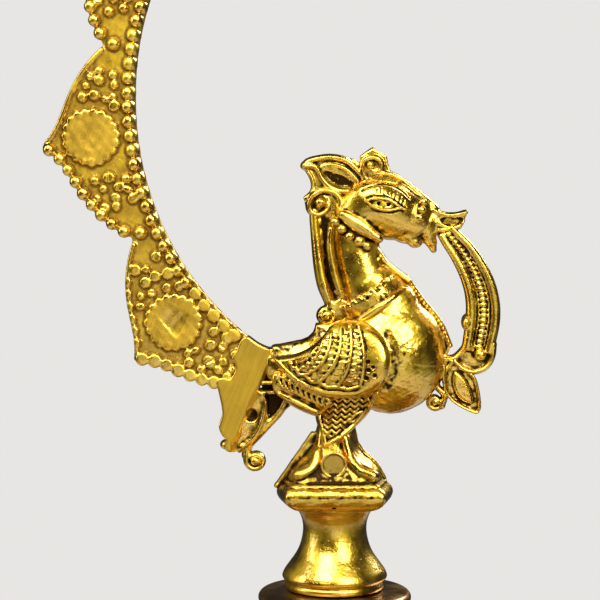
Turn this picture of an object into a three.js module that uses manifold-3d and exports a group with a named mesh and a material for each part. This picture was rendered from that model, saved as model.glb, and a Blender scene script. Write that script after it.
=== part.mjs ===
// A brass samai: a standing oil lamp with a hamsa (sacred goose) finial, whose tail rises as a
// scalloped crescent.
// The stand, the oil dish with its spouts, the post and the finial are separate pieces held by threads.
// Millimetres, +Z up. The origin is the middle of the foot's underside, and the bird faces +X.
import * as THREE from "three";
import { ConvexGeometry } from "three/addons/geometries/ConvexGeometry.js";
import { mergeVertices } from "three/addons/utils/BufferGeometryUtils.js";
import Module from "manifold-3d";

const wasm = await Module();
wasm.setup();

// ---- Driving dimensions -------------------------------------------------------------------------

const GAP = 0.3; // clearance between pieces that touch
const FOOT_R = 100;
const FOOT_H = 58;
const STEM_LOWER_H = 92;
const KNOP_H = 36;
const STEM_UPPER_H = 100;
const CALYX_H = 26;
const SEAL_T = 1.5;
const DISH_FLOOR_T = 3.5;
const DISH_R = 87;
const DISH_DEPTH = 21; // inner floor to rim
const SPOUTS = 5;
const SPOUT_REACH = 9; // how far a spout's lip stands past the rim
const SPOUT_LIFT = 3;
const SPOUT_HALF_ANGLE = 0.34; // radians
const SPOUT_TURN = 0; // one spout lies under the bird's beak
const POST_H = 49.5;
const WASHER_T = 1;
const ROD_R = 4.85; // M10 tie rod
const STUD_R = 3.85; // M8 stud under the finial
const ENGAGED = 8; // thread length that holds each screwed piece
const NUT_ACROSS = 17;
const NUT_H = 8;
const ROD_PAST_NUT = 4;
const NUT_WASHER_R = 11;
const LOWER_SEAL_R = 20;
const UPPER_SEAL_R = 15;
const FINIAL_WASHER_R = 12.6;
const TENON_R = 4; // the spool's tenon in the bird's foot
const TENON_H = 4;
const LEG_PEG = { x: -0.4, r: 3.2, z0: 32, z1: 48 }; // holds the leg in the foot

const STEM_LOWER_Z = FOOT_H;
const KNOP_Z = STEM_LOWER_Z + STEM_LOWER_H;
const STEM_UPPER_Z = KNOP_Z + KNOP_H;
const CALYX_Z = STEM_UPPER_Z + STEM_UPPER_H;
const LOWER_SEAL_Z = CALYX_Z + CALYX_H;
const DISH_Z = LOWER_SEAL_Z + SEAL_T;
const UPPER_SEAL_Z = DISH_Z + DISH_FLOOR_T;
const POST_Z = UPPER_SEAL_Z + SEAL_T;
const WASHER_Z = POST_Z + POST_H;
const FINIAL_Z = WASHER_Z + WASHER_T;

const ROD_HOLE_R = ROD_R + GAP;
const STUD_HOLE_R = STUD_R + GAP;
const WEB_Z = 50; // underside of the wall at the top of the foot, where the nut bears

// The bird, in the finial's own frame: x forward, z up from the underside of the spool.
const SPOOL_H = 24;
const FOOT_PLATE_TOP = 30;
const THROUGH = 30; // half the depth of a cut that goes right through the bird
const CRESCENT = { x: 28, z: 138, inner: 83.4, notch: 93, shoulder: 104, tip: 111.2, thick: 5.4 };
// Where the lobes of the crescent point, and how far they reach below and above that, in degrees.
const SCALLOP = { tips: [-41.3, -7.4, 26.5, 60.4], below: 18, above: 16 };
const CRESCENT_START = -58;
const CRESCENT_END = 81;

// ---- Solids -------------------------------------------------------------------------------------

const degrees = THREE.MathUtils.degToRad;

// A closed geometry as a solid, turned to face out if its profile ran the other way.
function solid(geometry) {
  const bare = (geometry.index ? geometry.toNonIndexed() : geometry.clone());
  bare.deleteAttribute("normal");
  bare.deleteAttribute("uv");
  const merged = mergeVertices(bare, 1e-4);
  const triVerts = new Uint32Array(merged.index.array);
  const vertProperties = merged.attributes.position.array;
  const make = () => new wasm.Manifold(new wasm.Mesh({ numProp: 3, vertProperties, triVerts }));
  const made = make();
  if (made.volume() >= 0) return made;
  for (let i = 0; i < triVerts.length; i += 3) {
    [triVerts[i + 1], triVerts[i + 2]] = [triVerts[i + 2], triVerts[i + 1]];
  }
  return make();
}

function geometryOf(shape) {
  const mesh = shape.getMesh();
  return new THREE.BufferGeometry()
    .setAttribute("position", new THREE.BufferAttribute(new Float32Array(mesh.vertProperties), 3))
    .setIndex(new THREE.BufferAttribute(new Uint32Array(mesh.triVerts), 1));
}

const union = (shapes) => shapes.reduce((all, shape) => all.add(shape));

// A body turned about +Z. The profile is [radius, height] pairs that close on themselves or on the axis.
function turned(profile, segments = 32) {
  const points = profile.map(([r, z]) => new THREE.Vector2(r, z));
  return solid(new THREE.LatheGeometry(points, segments).rotateX(Math.PI / 2));
}

// The same with a straight hole along the axis: the profile is the outside, from bottom to top.
function turnedRing(outside, holeR, segments) {
  const [first, last] = [outside[0], outside[outside.length - 1]];
  return turned([[holeR, first[1]], ...outside, [holeR, last[1]], [holeR, first[1]]], segments);
}

function cylinder(r, z0, z1, segments = 24) {
  const upright = new THREE.CylinderGeometry(r, r, z1 - z0, segments).rotateX(Math.PI / 2);
  return solid(upright.translate(0, 0, (z0 + z1) / 2));
}

// A straight pin along Y.
function crossPin(x, z, r, y0, y1, segments = 20) {
  return solid(new THREE.CylinderGeometry(r, r, y1 - y0, segments).translate(x, (y0 + y1) / 2, z));
}

// An outline in x and z, cut from a plate that spans y0 to y1.
function plate(shape, y0, y1, curveSegments = 5) {
  const flat = new THREE.ExtrudeGeometry(shape, { depth: y1 - y0, bevelEnabled: false, curveSegments });
  return solid(flat.rotateX(Math.PI / 2).translate(0, y1, 0));
}

// A smooth curve through points in x and z.
function curveThrough(points, closed) {
  const at = points.map(([x, z]) => new THREE.Vector3(x, z, 0));
  return new THREE.CatmullRomCurve3(at, closed, "centripetal");
}

// A closed outline through points in x and z: straight between them, or one smooth curve.
function outline(points, smooth = false, steps = 3) {
  if (!smooth) return new THREE.Shape(points.map(([x, z]) => new THREE.Vector2(x, z)));
  const at = curveThrough(points, true).getPoints(points.length * steps).slice(0, -1);
  return new THREE.Shape(at.map((p) => new THREE.Vector2(p.x, p.y)));
}

// The outline of a strip that follows points [x, z, half width].
function strip(points, steps = 3) {
  const curve = curveThrough(points, false);
  const count = (points.length - 1) * steps;
  const left = [];
  const right = [];
  for (let i = 0; i <= count; i++) {
    const t = i / count;
    const p = curve.getPoint(t);
    const d = curve.getTangent(t);
    const k = Math.min(Math.floor(t * (points.length - 1)), points.length - 2);
    const half = THREE.MathUtils.lerp(points[k][2], points[k + 1][2], t * (points.length - 1) - k);
    left.push(new THREE.Vector2(p.x - d.y * half, p.y + d.x * half));
    right.unshift(new THREE.Vector2(p.x + d.y * half, p.y - d.x * half));
  }
  return new THREE.Shape([...left, ...right]);
}

// An ellipsoid on the midline: [x, z, radius along x, radius along y, radius along z].
function ball([x, z, rx, ry, rz], grow = 0) {
  return new THREE.SphereGeometry(1, 18, 12).scale(rx + grow, ry + grow, rz + grow).translate(x, 0, z);
}

// A soft form through balls: each pair is wrapped in one skin, and the skins are joined.
function form(balls, grow = 0) {
  const skins = [];
  for (let i = 0; i + 1 < balls.length; i++) {
    const points = [ball(balls[i], grow), ball(balls[i + 1], grow)].flatMap((geometry) => {
      const at = geometry.getAttribute("position");
      return Array.from({ length: at.count }, (_, n) => new THREE.Vector3().fromBufferAttribute(at, n));
    });
    skins.push(solid(new ConvexGeometry(points)));
  }
  return union(skins);
}

// Everything on one side of a plane through [x, z]. Its normal leans at an angle above +X.
function halfSpace([x, z], angle) {
  const size = 400;
  const box = new THREE.BoxGeometry(size, size, size).translate(size / 2, 0, 0);
  return solid(box.rotateY(-degrees(angle)).translate(x, 0, z));
}

const mirrored = (shape) => shape.mirror([0, 1, 0]);

// ---- Materials ----------------------------------------------------------------------------------

const material = (color, roughness, metalness) =>
  new THREE.MeshStandardMaterial({ color, roughness, metalness });
const BRASS = material(0xd9a441, 0.22, 1);
const AGED_BRASS = material(0xa87a34, 0.38, 1);
const STEEL = material(0x8d8f91, 0.4, 1);
const RUBBER = material(0x1c1a18, 0.8, 0);

const lamp = new THREE.Group();
const finial = new THREE.Group();
finial.position.z = FINIAL_Z;
lamp.add(finial);

function piece(name, shape, look, group = lamp) {
  const mesh = new THREE.Mesh(geometryOf(shape), look);
  mesh.name = name;
  group.add(mesh);
}

// ---- Stand --------------------------------------------------------------------------------------

// The hollow bell foot. Its inside is open below, and its top wall carries the nut.
function bellFoot() {
  const outside = [
    [FOOT_R, 0], [FOOT_R, 5], [96, 7.5], [91, 8.5], [89.5, 12.5], [82, 15], [68, 19], [54, 26.5],
    [45, 36], [42, 42], [45, 45], [44, 48.5], [33, 51], [25, 54], [24, FOOT_H - GAP],
  ];
  const inside = [
    [18, WEB_Z], [31, 46.5], [37, 40], [41, 33], [50, 22.5], [65, 15], [80, 11], [87, 8], [93, 4], [94, 0],
  ];
  const bore = [[ROD_HOLE_R, FOOT_H - GAP], [ROD_HOLE_R, WEB_Z]];
  return turned([...outside, ...bore, ...inside, [FOOT_R, 0]], 44);
}

function stemLower() {
  const z = STEM_LOWER_Z;
  const outside = [
    [21, z], [21, z + 5], [16, z + 8], [11, z + 15], [13.5, z + 18], [13.5, z + 21], [10, z + 24],
    [14.5, z + 34], [17, z + 46], [14, z + 58], [9, z + 70], [9, z + 76], [13, z + 79], [13, z + 83],
    [11, z + 86], [15, z + STEM_LOWER_H - GAP],
  ];
  return turnedRing(outside, ROD_HOLE_R);
}

function knop() {
  const z = KNOP_Z;
  const outside = [
    [16, z], [16, z + 3], [22, z + 7], [26, z + 12.5], [27, z + 18], [26, z + 23.5], [22, z + 29],
    [16, z + 33], [16, z + KNOP_H - GAP],
  ];
  return turnedRing(outside, ROD_HOLE_R, 36);
}

function stemUpper() {
  const z = STEM_UPPER_Z;
  const outside = [
    [15, z], [15, z + 4], [10.5, z + 8], [13, z + 12], [13, z + 15], [9, z + 19], [9, z + 27],
    [13.5, z + 42], [16, z + 56], [13, z + 66], [9.5, z + 74], [12.5, z + 78], [12.5, z + 82],
    [9.5, z + 86], [11.5, z + 94], [15, z + STEM_UPPER_H - GAP],
  ];
  return turnedRing(outside, ROD_HOLE_R);
}

// The cup that carries the oil dish.
function calyx() {
  const z = CALYX_Z;
  const outside = [
    [14, z], [17, z + 4], [14, z + 8], [18, z + 12], [28, z + 18], [35, z + 23], [36, z + CALYX_H - GAP],
  ];
  return turnedRing(outside, ROD_HOLE_R, 36);
}

function tieRod() {
  const chamfer = 0.8;
  const bottom = WEB_Z - SEAL_T - NUT_H - ROD_PAST_NUT;
  const top = POST_Z + ENGAGED;
  return turned([
    [0, bottom], [ROD_R - chamfer, bottom], [ROD_R, bottom + chamfer], [ROD_R, top - chamfer],
    [ROD_R - chamfer, top], [0, top],
  ], 24);
}

function flatRing(innerR, outerR, z0, z1, segments = 32) {
  return turned([[innerR, z0], [outerR, z0], [outerR, z1], [innerR, z1], [innerR, z0]], segments);
}

function baseNut() {
  const z1 = WEB_Z - GAP - SEAL_T - GAP;
  const across = NUT_ACROSS / Math.sqrt(3);
  const hexagon = cylinder(across, z1 - NUT_H, z1, 6);
  return hexagon.subtract(cylinder(ROD_HOLE_R, z1 - NUT_H - 1, z1 + 1));
}

// ---- Oil dish -----------------------------------------------------------------------------------

// How strongly the rim is drawn out at an angle: 1 at the middle of a spout, 0 between spouts.
function spoutPull(angle) {
  const period = (2 * Math.PI) / SPOUTS;
  const away = Math.abs(((angle - SPOUT_TURN + period / 2) % period + period) % period - period / 2);
  return away < SPOUT_HALF_ANGLE ? (1 - away / SPOUT_HALF_ANGLE) ** 1.6 : 0;
}

// A turned bowl whose rim is then drawn out into spouts.
function oilDish() {
  const z = DISH_Z;
  const floor = z + DISH_FLOOR_T;
  const rim = floor + DISH_DEPTH;
  const profile = [
    [ROD_HOLE_R, z], [30, z], [46, z + 1.5], [62, z + 6], [74, z + 12.5], [82, z + 19],
    [DISH_R, rim - 2.5], [DISH_R + 1, rim - 1], [DISH_R, rim], [DISH_R - 2.5, rim - 0.5],
    [79.5, z + 20.5], [71.5, z + 15], [60, z + 9], [45, z + 4.8], [30, floor], [ROD_HOLE_R, floor],
    [ROD_HOLE_R, z],
  ];
  const points = profile.map(([r, h]) => new THREE.Vector2(r, h));
  const bowl = new THREE.LatheGeometry(points, 70).rotateX(Math.PI / 2);
  const at = bowl.getAttribute("position");
  const p = new THREE.Vector3();
  for (let i = 0; i < at.count; i++) {
    p.fromBufferAttribute(at, i);
    const r = Math.hypot(p.x, p.y);
    const outward = THREE.MathUtils.smoothstep(r, 48, DISH_R) * spoutPull(Math.atan2(p.y, p.x));
    const stretch = 1 + (outward * SPOUT_REACH) / r;
    at.setXYZ(i, p.x * stretch, p.y * stretch, p.z + outward * SPOUT_LIFT);
  }
  return solid(bowl);
}

// The post in the middle of the dish, with the wide collar that the finial stands on.
function dishPost() {
  const z = POST_Z + GAP;
  const top = WASHER_Z;
  const outside = [
    [17, z], [17, z + 3.5], [13, z + 6], [9.5, z + 12], [9, z + 17], [12, z + 20.5], [12, z + 24],
    [9.5, z + 27.5], [10.5, z + 36], [14, top - 7.5], [18.5, top - 4.6], [21.2, top - 3.6],
    [21.6, top - 2], [20.8, top - 0.5], [17.5, top],
  ];
  const body = turned([[0, z], ...outside, [0, top]], 32);
  const rodHole = cylinder(ROD_HOLE_R, z - 1, POST_Z + ENGAGED + 2);
  const studHole = cylinder(STUD_HOLE_R, top - 12, top + 1);
  return body.subtract(rodHole).subtract(studHole);
}

function finialStud() {
  const chamfer = 0.6;
  const bottom = WASHER_Z - 11.5;
  const top = FINIAL_Z + ENGAGED;
  return turned([
    [0, bottom], [STUD_R, bottom], [STUD_R, top - chamfer], [STUD_R - chamfer, top], [0, top],
  ], 20);
}

// ---- Finial: spool and foot ---------------------------------------------------------------------

function spool() {
  const outside = [
    [13.8, 0], [14.6, 0.8], [14.6, 1.8], [13.9, 2.4], [14.4, 3.4], [13, 6], [11.2, 8.6], [9.8, 11],
    [9.1, 14], [8.9, 17], [9.3, 20], [10.6, SPOOL_H - GAP],
  ];
  const body = turned([[0, 0], ...outside, [0, SPOOL_H - GAP]], 32);
  const tenon = cylinder(TENON_R, SPOOL_H - 1, SPOOL_H + TENON_H);
  return body.add(tenon).subtract(cylinder(STUD_HOLE_R, -1, ENGAGED + 2));
}

// One level of the bird's foot, a hexagon with two corners on the midline.
function footLevel([half, front, deep, z]) {
  return [[half, 0], [front, -deep], [-front, -deep], [-half, 0], [-front, deep], [front, deep]]
    .map(([x, y]) => new THREE.Vector3(x, y, z));
}

// The flared foot: a plate below and a waisted neck above, with a socket for the leg and the rivet's hole.
const FOOT_LEVELS = [
  [11.4, 8.4, 9.2, SPOOL_H], [14.4, 11, 11.6, 26], [16, 12.6, 12.8, 28.2], [15.6, 12.4, 12.4, 29.4],
  [14.6, 11.4, 11, FOOT_PLATE_TOP], [12.4, 9.4, 9.2, 33], [9.6, 7.2, 7.4, 36.5], [7, 5.4, 6, 40.5],
  [5.8, 4.6, 5.4, 44.5],
];
const RIVET = { x: -0.4, z: 36, r: 2, headR: 3.6, headY: 7.2, headT: 2.4 };

function birdFoot() {
  const levels = FOOT_LEVELS.map(footLevel);
  const skins = levels.slice(1).map((above, i) => solid(new ConvexGeometry([...levels[i], ...above])));
  return union(skins)
    .subtract(cylinder(TENON_R + GAP, SPOOL_H - 1, SPOOL_H + TENON_H + 2 * GAP))
    .subtract(legTenon(GAP))
    .subtract(footRivet(GAP));
}

function legTenon(grow = 0) {
  const { x, r, z0, z1 } = LEG_PEG;
  return cylinder(r + grow, z0 - grow / 2, z1 + grow / 2, 20).translate([x, 0, 0]);
}

// The cross rivet that holds the leg in the foot, with a round boss at each end set into the foot's face.
function footRivet(grow = 0) {
  const { x, z, r, headR, headY, headT } = RIVET;
  const shaft = crossPin(x, z, r + grow, -headY - headT, headY + headT);
  const near = crossPin(x, z, headR + grow, -headY - headT - 4 * grow, -headY + grow, 24);
  return union([shaft, near, mirrored(near)]);
}

// ---- Finial: the bird ---------------------------------------------------------------------------

const NECK_CUT = { at: [10.6, 81.4], angle: 124 }; // the joint under the collar, square to the neck

const trunkForm = (grow = 0) => form([
  [-15, 62, 4.5, 4.6, 6.2], [-1, 62.5, 11, 9.4, 11], [15.6, 66.2, 15.4, 12.6, 15.6], [14, 80, 9.4, 8.4, 9],
  [9.5, 86, 8, 7.4, 8],
], grow);
const legForm = (grow = 0) => form([
  [3, 56, 9, 8, 6], [-0.2, 48, 4.6, 4.8, 3.6], [-0.4, 45.6, 4, 4.2, 1],
], grow);
const neckForm = (grow = 0) => form([
  [11.4, 80.5, 7.6, 7, 7.6], [6.6, 91, 6.6, 6, 7], [4.6, 101, 6, 5.6, 6], [7.6, 108, 6, 5.8, 6],
], grow);
const headForm = (grow = 0) => form([
  [10.2, 109, 6.2, 6.4, 7.2], [17, 106, 7.4, 5.8, 7.4], [24.4, 104, 4, 3.6, 4.6], [30, 103.8, 2.6, 3, 3.2],
], grow);

const BEAK_UPPER = [[27, 101.6], [28.4, 106.4], [32, 106.2], [36.8, 106.4], [35.4, 101.8], [31, 99.6]];
const BEAK_LOWER = [[22, 99], [27.6, 94.4], [30, 99.4], [29, 102], [24, 102]];

function trunk() {
  const above = halfSpace(NECK_CUT.at, NECK_CUT.angle);
  return trunkForm().subtract(above).add(legForm()).add(legTenon())
    .subtract(collar(GAP))
    .subtract(tailBlock(GAP))
    .subtract(crossPin(RIVET.x, RIVET.z, RIVET.r + GAP, -THROUGH, THROUGH));
}

function neckAndHead() {
  const shift = GAP / Math.hypot(1, 1);
  const below = halfSpace([NECK_CUT.at[0] - shift, NECK_CUT.at[1] + shift], NECK_CUT.angle + 180);
  return neckForm().add(headForm())
    .add(plate(outline(BEAK_UPPER), -3.2, 3.2))
    .add(plate(outline(BEAK_LOWER), -2, 2))
    .subtract(below)
    .subtract(collar(GAP));
}

// The scarf-like band round the root of the neck, over the joint between neck and trunk.
function collar(grow = 0) {
  const [x, z] = NECK_CUT.at;
  const inner = 7.9;
  const ring = [
    [inner - grow, -2.2 - grow], [10.6 + grow, -2 - grow], [11.3 + grow, 0], [10.2 + grow, 2.2 + grow],
    [inner - grow, 2.2 + grow], [inner - grow, -2.2 - grow],
  ];
  const points = ring.map(([r, h]) => new THREE.Vector2(r, h));
  const band = new THREE.LatheGeometry(points, 30).rotateX(Math.PI / 2).scale(1, 0.9, 1);
  return solid(band.rotateY(degrees(NECK_CUT.angle - 90) * -1).translate(x, 0, z));
}

// Relief on the trunk's near side: an outline cut from a skin of the given thickness.
function relief(shape, thick) {
  const footRoom = plate(outline([[-20, 20], [20, 20], [20, 45], [-20, 45]]), -THROUGH, 0);
  return trunkForm(GAP + thick).add(legForm(GAP + thick)).intersect(plate(shape, -THROUGH, -2))
    .subtract(trunkForm(GAP)).subtract(legForm(GAP))
    .subtract(collar(GAP)).subtract(tailBlock(GAP)).subtract(footRoom);
}

const WING = [
  [0.5, 74.5], [6, 74.2], [11, 73.6], [14.2, 70], [14.9, 64.5], [12.4, 59], [6.5, 55.6], [-1, 55],
  [-8, 57.4], [-13.2, 61.6], [-16.6, 66.4], [-11, 69.4], [-5.4, 71.6],
];
const FRINGE = [
  [-15.4, 60], [-16, 56.5], [-10, 53.4], [-4.4, 50.6], [-1.4, 50.2], [-1.6, 54.6], [-8.4, 57], [-13.6, 61],
];
const THIGH = [[-1, 54.6], [6.5, 55.2], [12.6, 58.6], [11.6, 54.4], [5, 48.6], [-0.4, 45.4], [-1, 49.6]];

const wing = () => relief(outline(WING, true), 2.4);

// The crosshatched bands under the wing keep clear of its lower edge.
function underWing(points, thick) {
  const wingRoom = outline(WING.map(([x, z]) => [x + (x > 0 ? GAP : -GAP), z - 2 * GAP]), true);
  return relief(outline(points), thick).subtract(plate(wingRoom, -THROUGH, -2));
}

const thigh = () => underWing(THIGH, 1.5);

function fringe() {
  const thighRoom = outline(THIGH.map(([x, z]) => [x - 2 * GAP, z]));
  return underWing(FRINGE, 1.3).subtract(plate(thighRoom, -THROUGH, -2));
}

// The leaf-shaped crest behind the brow, with its pierced middle, and the scroll that rises over it.
const CREST_LEAF = [
  [-9, 119], [-5, 121.2], [3, 121.4], [8.5, 118.8], [10.6, 116], [6, 111.6], [0, 111.6], [-2.6, 112.8],
  [-4.6, 116.4],
];
const CREST_EYE = [[-2, 117.4], [1, 118.4], [6, 115.6], [2, 114.2]];
const CREST_SCROLL = [[6.6, 118.4], [8.2, 121.4], [10.9, 123.6], [13.6, 121.4], [14.4, 117], [11, 114.4]];

function crest() {
  return plate(outline(CREST_LEAF), -2, 2)
    .subtract(plate(outline(CREST_EYE), -THROUGH, THROUGH))
    .add(plate(outline(CREST_SCROLL), -2.2, 2.2))
    .subtract(neckForm(GAP)).subtract(headForm(GAP));
}

// The ribbon down the nape, from the volute behind the cheek to the small curl on the back.
const NAPE = [
  [-2.6, 108, 2.6], [-2.6, 102, 3], [-1.9, 95, 3.1], [-1.2, 88, 3], [-1.4, 82, 2.4], [-1.8, 78.5, 2],
];

function napeRibbon() {
  const volute = crossPin(-4.5, 108.4, 3.4, -2.4, 2.4);
  const curl = crossPin(-2.5, 77.3, 2.8, -2.4, 2.4);
  const crestRoom = outline([[-10, 111.2], [20, 111.2], [20, 127], [-10, 127]]);
  return plate(strip(NAPE), -1.7, 1.7).add(volute).add(curl)
    .subtract(neckForm(GAP)).subtract(headForm(GAP)).subtract(trunkForm(GAP)).subtract(collar(GAP))
    .subtract(plate(crestRoom, -THROUGH, THROUGH));
}

// The bead-spined garland that hangs in a bow from the beak to the breast.
const GARLAND = [
  [31.6, 99.4, 3.2], [35.8, 94, 3.8], [39, 88.4, 4.3], [41, 82.4, 4.6], [41.4, 75.6, 4.8],
  [39.9, 66.4, 4.4],
];

// The garland's outline, cut right through: as the garland's own shape, or as room for it in a neighbour.
function garlandForm(grow = 0) {
  return plate(strip(GARLAND.map(([x, z, half]) => [x, z, half + grow]), 4), -THROUGH, THROUGH);
}

function garland() {
  const beakRoom = outline([[26, 99.1], [26, 112], [40, 112], [37, 101.2], [31, 99.1]]);
  const lowerBeakRoom = outline([[22, 99], [27.6, 94], [30.4, 99.4]]);
  const reach = outline([[20, 60], [60, 60], [60, 112], [20, 112]]);
  return garlandForm().intersect(plate(reach, -2.6, 2.6))
    .subtract(plate(beakRoom, -THROUGH, THROUGH)).subtract(plate(lowerBeakRoom, -THROUGH, THROUGH))
    .subtract(headForm(GAP));
}

// The bud and small scroll under the garland, brazed to the breast; the garland's end keeps clear of it.
const GARLAND_END = [[34, 66.1], [46, 66.1], [46, 70], [34, 70]];
const BUD = [[31, 62], [33.4, 65.6], [39, 65.6], [41.6, 57], [40.3, 50.4], [35.4, 52.2], [31.4, 56.4]];

function garlandBud() {
  const leaf = outline(BUD);
  return plate(leaf, -2.4, 2.4)
    .add(plate(strip([[33.6, 59, 1.1], [31.6, 55.4, 1.2], [29.4, 53.4, 1.4]]), -2, 2))
    .add(crossPin(28.9, 53.2, 2.3, -2.2, 2.2))
    .subtract(trunkForm(GAP)).subtract(garlandForm(GAP))
    .subtract(plate(outline(GARLAND_END), -THROUGH, THROUGH));
}

// The thin web on the midline from the collar to the foot of the garland, with its beaded upper edge.
function breastWeb() {
  const web = outline([[19, 86], [20.6, 88.6], [33.2, 69.4], [30.4, 65], [24, 70]]);
  const budRoom = outline([[30.6, 62], [33.1, 67], [50, 67], [50, 50]]);
  return plate(web, -0.9, 0.9)
    .subtract(trunkForm(GAP)).subtract(collar(GAP)).subtract(garlandForm(GAP))
    .subtract(plate(budRoom, -THROUGH, THROUGH));
}

// ---- Finial: the tail ---------------------------------------------------------------------------

// A point on the crescent: degrees above its centre, as seen from the bird's back, and a radius.
function onCrescent(angle, radius) {
  const a = degrees(angle);
  return new THREE.Vector2(CRESCENT.x - radius * Math.cos(a), CRESCENT.z + radius * Math.sin(a));
}

// The scalloped rim: each lobe is a low arch between two notches, with a sharp tip near its upper notch.
function rimRadius(angle) {
  for (const tip of SCALLOP.tips) {
    const away = angle - tip;
    const half = away < 0 ? SCALLOP.below : SCALLOP.above;
    if (Math.abs(away) >= half) continue;
    const arch = Math.sqrt(1 - (away / half) ** 2);
    const lobe = CRESCENT.notch + (CRESCENT.shoulder - CRESCENT.notch) * arch;
    return lobe + (CRESCENT.tip - CRESCENT.shoulder) * Math.exp(-Math.abs(away) / 2.6);
  }
  return CRESCENT.notch;
}

// The end of the crescent: a leaf that narrows forward over the bird's head.
const TAIL_LEAF = [[86, 95.5], [91, 95], [96, 91.5], [101.5, 86.5], [96, 84.6], [90, 83.6]];

function tailCrescent() {
  const outer = [];
  for (let a = CRESCENT_START; a <= CRESCENT_END + 0.01; a += 2.05) {
    outer.push(onCrescent(a, rimRadius(a)));
  }
  const leaf = TAIL_LEAF.map(([a, r]) => onCrescent(a, r));
  const inner = [];
  for (let a = 84; a >= CRESCENT_START; a -= 4) inner.push(onCrescent(a, CRESCENT.inner));
  const half = CRESCENT.thick / 2;
  return plate(new THREE.Shape([...outer, ...leaf, ...inner]), -half, half).subtract(tailBlock(GAP));
}

// The block that joins the crescent to the rump: filed flat on its sides.
const TAIL_BLOCK = [
  [-26, 70.3], [-24.6, 70.5], [-22.1, 68.3], [-16.8, 67.5], [-17.4, 66.4], [-25.8, 49.6], [-29.7, 40.6],
  [-31.4, 40.6], [-32.2, 44.5], [-31.1, 48.7], [-31.6, 52.9], [-33, 58.5], [-30.4, 62.6],
];

// The block, or room for it, its outline moved away from its middle by a little more than the gap asked for.
function tailBlock(grow = 0) {
  const centre = [-27, 57.5];
  const wider = TAIL_BLOCK.map(([x, z]) => {
    const step = (grow * 1.7) / Math.hypot(x - centre[0], z - centre[1]);
    return [x + (x - centre[0]) * step, z + (z - centre[1]) * step];
  });
  return plate(outline(wider), -3.3 - grow, 3.3 + grow);
}

// The stem and volute that curl below the tail's root.
function rumpScroll() {
  const stem = [
    [-13.2, 55.2, 1.5], [-17.4, 50.2, 1.5], [-21.4, 44.6, 1.6], [-24, 39.6, 1.7], [-23.6, 37, 1.7],
  ];
  return plate(strip(stem), -2, 2)
    .add(crossPin(-22.3, 36.4, 2.8, -2.3, 2.3))
    .subtract(trunkForm(GAP)).subtract(tailBlock(GAP));
}

// ---- Assembly -----------------------------------------------------------------------------------

piece("bell_foot", bellFoot(), BRASS);
piece("stem_lower", stemLower(), BRASS);
piece("stem_knop", knop(), BRASS);
piece("stem_upper", stemUpper(), BRASS);
piece("dish_calyx", calyx(), BRASS);
piece("tie_rod", tieRod(), STEEL);
const nutWasher = flatRing(ROD_HOLE_R + GAP, NUT_WASHER_R, WEB_Z - GAP - SEAL_T, WEB_Z - GAP);
piece("nut_washer", nutWasher, STEEL);
piece("base_nut", baseNut(), STEEL);
const lowerSeal = flatRing(ROD_HOLE_R + GAP, LOWER_SEAL_R, LOWER_SEAL_Z, DISH_Z - GAP);
piece("dish_seal_lower", lowerSeal, RUBBER);
piece("oil_dish", oilDish(), AGED_BRASS);
const upperSeal = flatRing(ROD_HOLE_R + GAP, UPPER_SEAL_R, UPPER_SEAL_Z + GAP, POST_Z);
piece("dish_seal_upper", upperSeal, RUBBER);
piece("dish_post", dishPost(), AGED_BRASS);
piece("finial_stud", finialStud(), STEEL);
const finialWasher = flatRing(STUD_HOLE_R + GAP, FINIAL_WASHER_R, WASHER_Z + GAP, FINIAL_Z - 0.1);
piece("finial_washer", finialWasher, RUBBER);

piece("finial_spool", spool(), BRASS, finial);
piece("bird_foot", birdFoot(), BRASS, finial);
piece("foot_rivet", footRivet(), BRASS, finial);
piece("bird_trunk", trunk(), BRASS, finial);
piece("neck_and_head", neckAndHead(), BRASS, finial);
piece("neck_collar", collar(), BRASS, finial);
for (const [side, turn] of [["near", (shape) => shape], ["far", mirrored]]) {
  piece(`wing_${side}`, turn(wing()), BRASS, finial);
  piece(`fringe_${side}`, turn(fringe()), BRASS, finial);
  piece(`thigh_${side}`, turn(thigh()), BRASS, finial);
}
piece("crest", crest(), BRASS, finial);
piece("nape_ribbon", napeRibbon(), BRASS, finial);
piece("garland", garland(), BRASS, finial);
piece("garland_bud", garlandBud(), BRASS, finial);
piece("breast_web", breastWeb(), BRASS, finial);
piece("tail_crescent", tailCrescent(), BRASS, finial);
piece("tail_block", tailBlock(), BRASS, finial);
piece("rump_scroll", rumpScroll(), BRASS, finial);

export default lamp;
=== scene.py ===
import math

import bpy
import numpy as np
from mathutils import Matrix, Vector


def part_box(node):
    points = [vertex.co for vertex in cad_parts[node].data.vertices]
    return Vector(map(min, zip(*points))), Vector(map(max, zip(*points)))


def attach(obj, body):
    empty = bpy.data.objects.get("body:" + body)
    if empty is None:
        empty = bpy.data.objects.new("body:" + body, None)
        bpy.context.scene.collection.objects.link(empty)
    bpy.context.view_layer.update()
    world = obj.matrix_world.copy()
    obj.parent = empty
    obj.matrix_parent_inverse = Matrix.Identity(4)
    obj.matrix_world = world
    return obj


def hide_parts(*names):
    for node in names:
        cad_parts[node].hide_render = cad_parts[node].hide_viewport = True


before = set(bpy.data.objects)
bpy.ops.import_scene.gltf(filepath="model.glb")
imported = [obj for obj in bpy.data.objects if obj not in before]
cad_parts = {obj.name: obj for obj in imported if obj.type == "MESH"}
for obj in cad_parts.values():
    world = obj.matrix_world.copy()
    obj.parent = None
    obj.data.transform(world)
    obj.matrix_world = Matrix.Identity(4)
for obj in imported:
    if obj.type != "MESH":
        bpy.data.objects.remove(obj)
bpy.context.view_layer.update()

import openvdb
from mathutils import Vector

# The looks of a brass standing oil lamp with a goose finial. The finial's lengths are in millimetres in its
# own frame: x the way the bird faces, z up from the underside of the spool. make_piece makes them metres.

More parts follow.
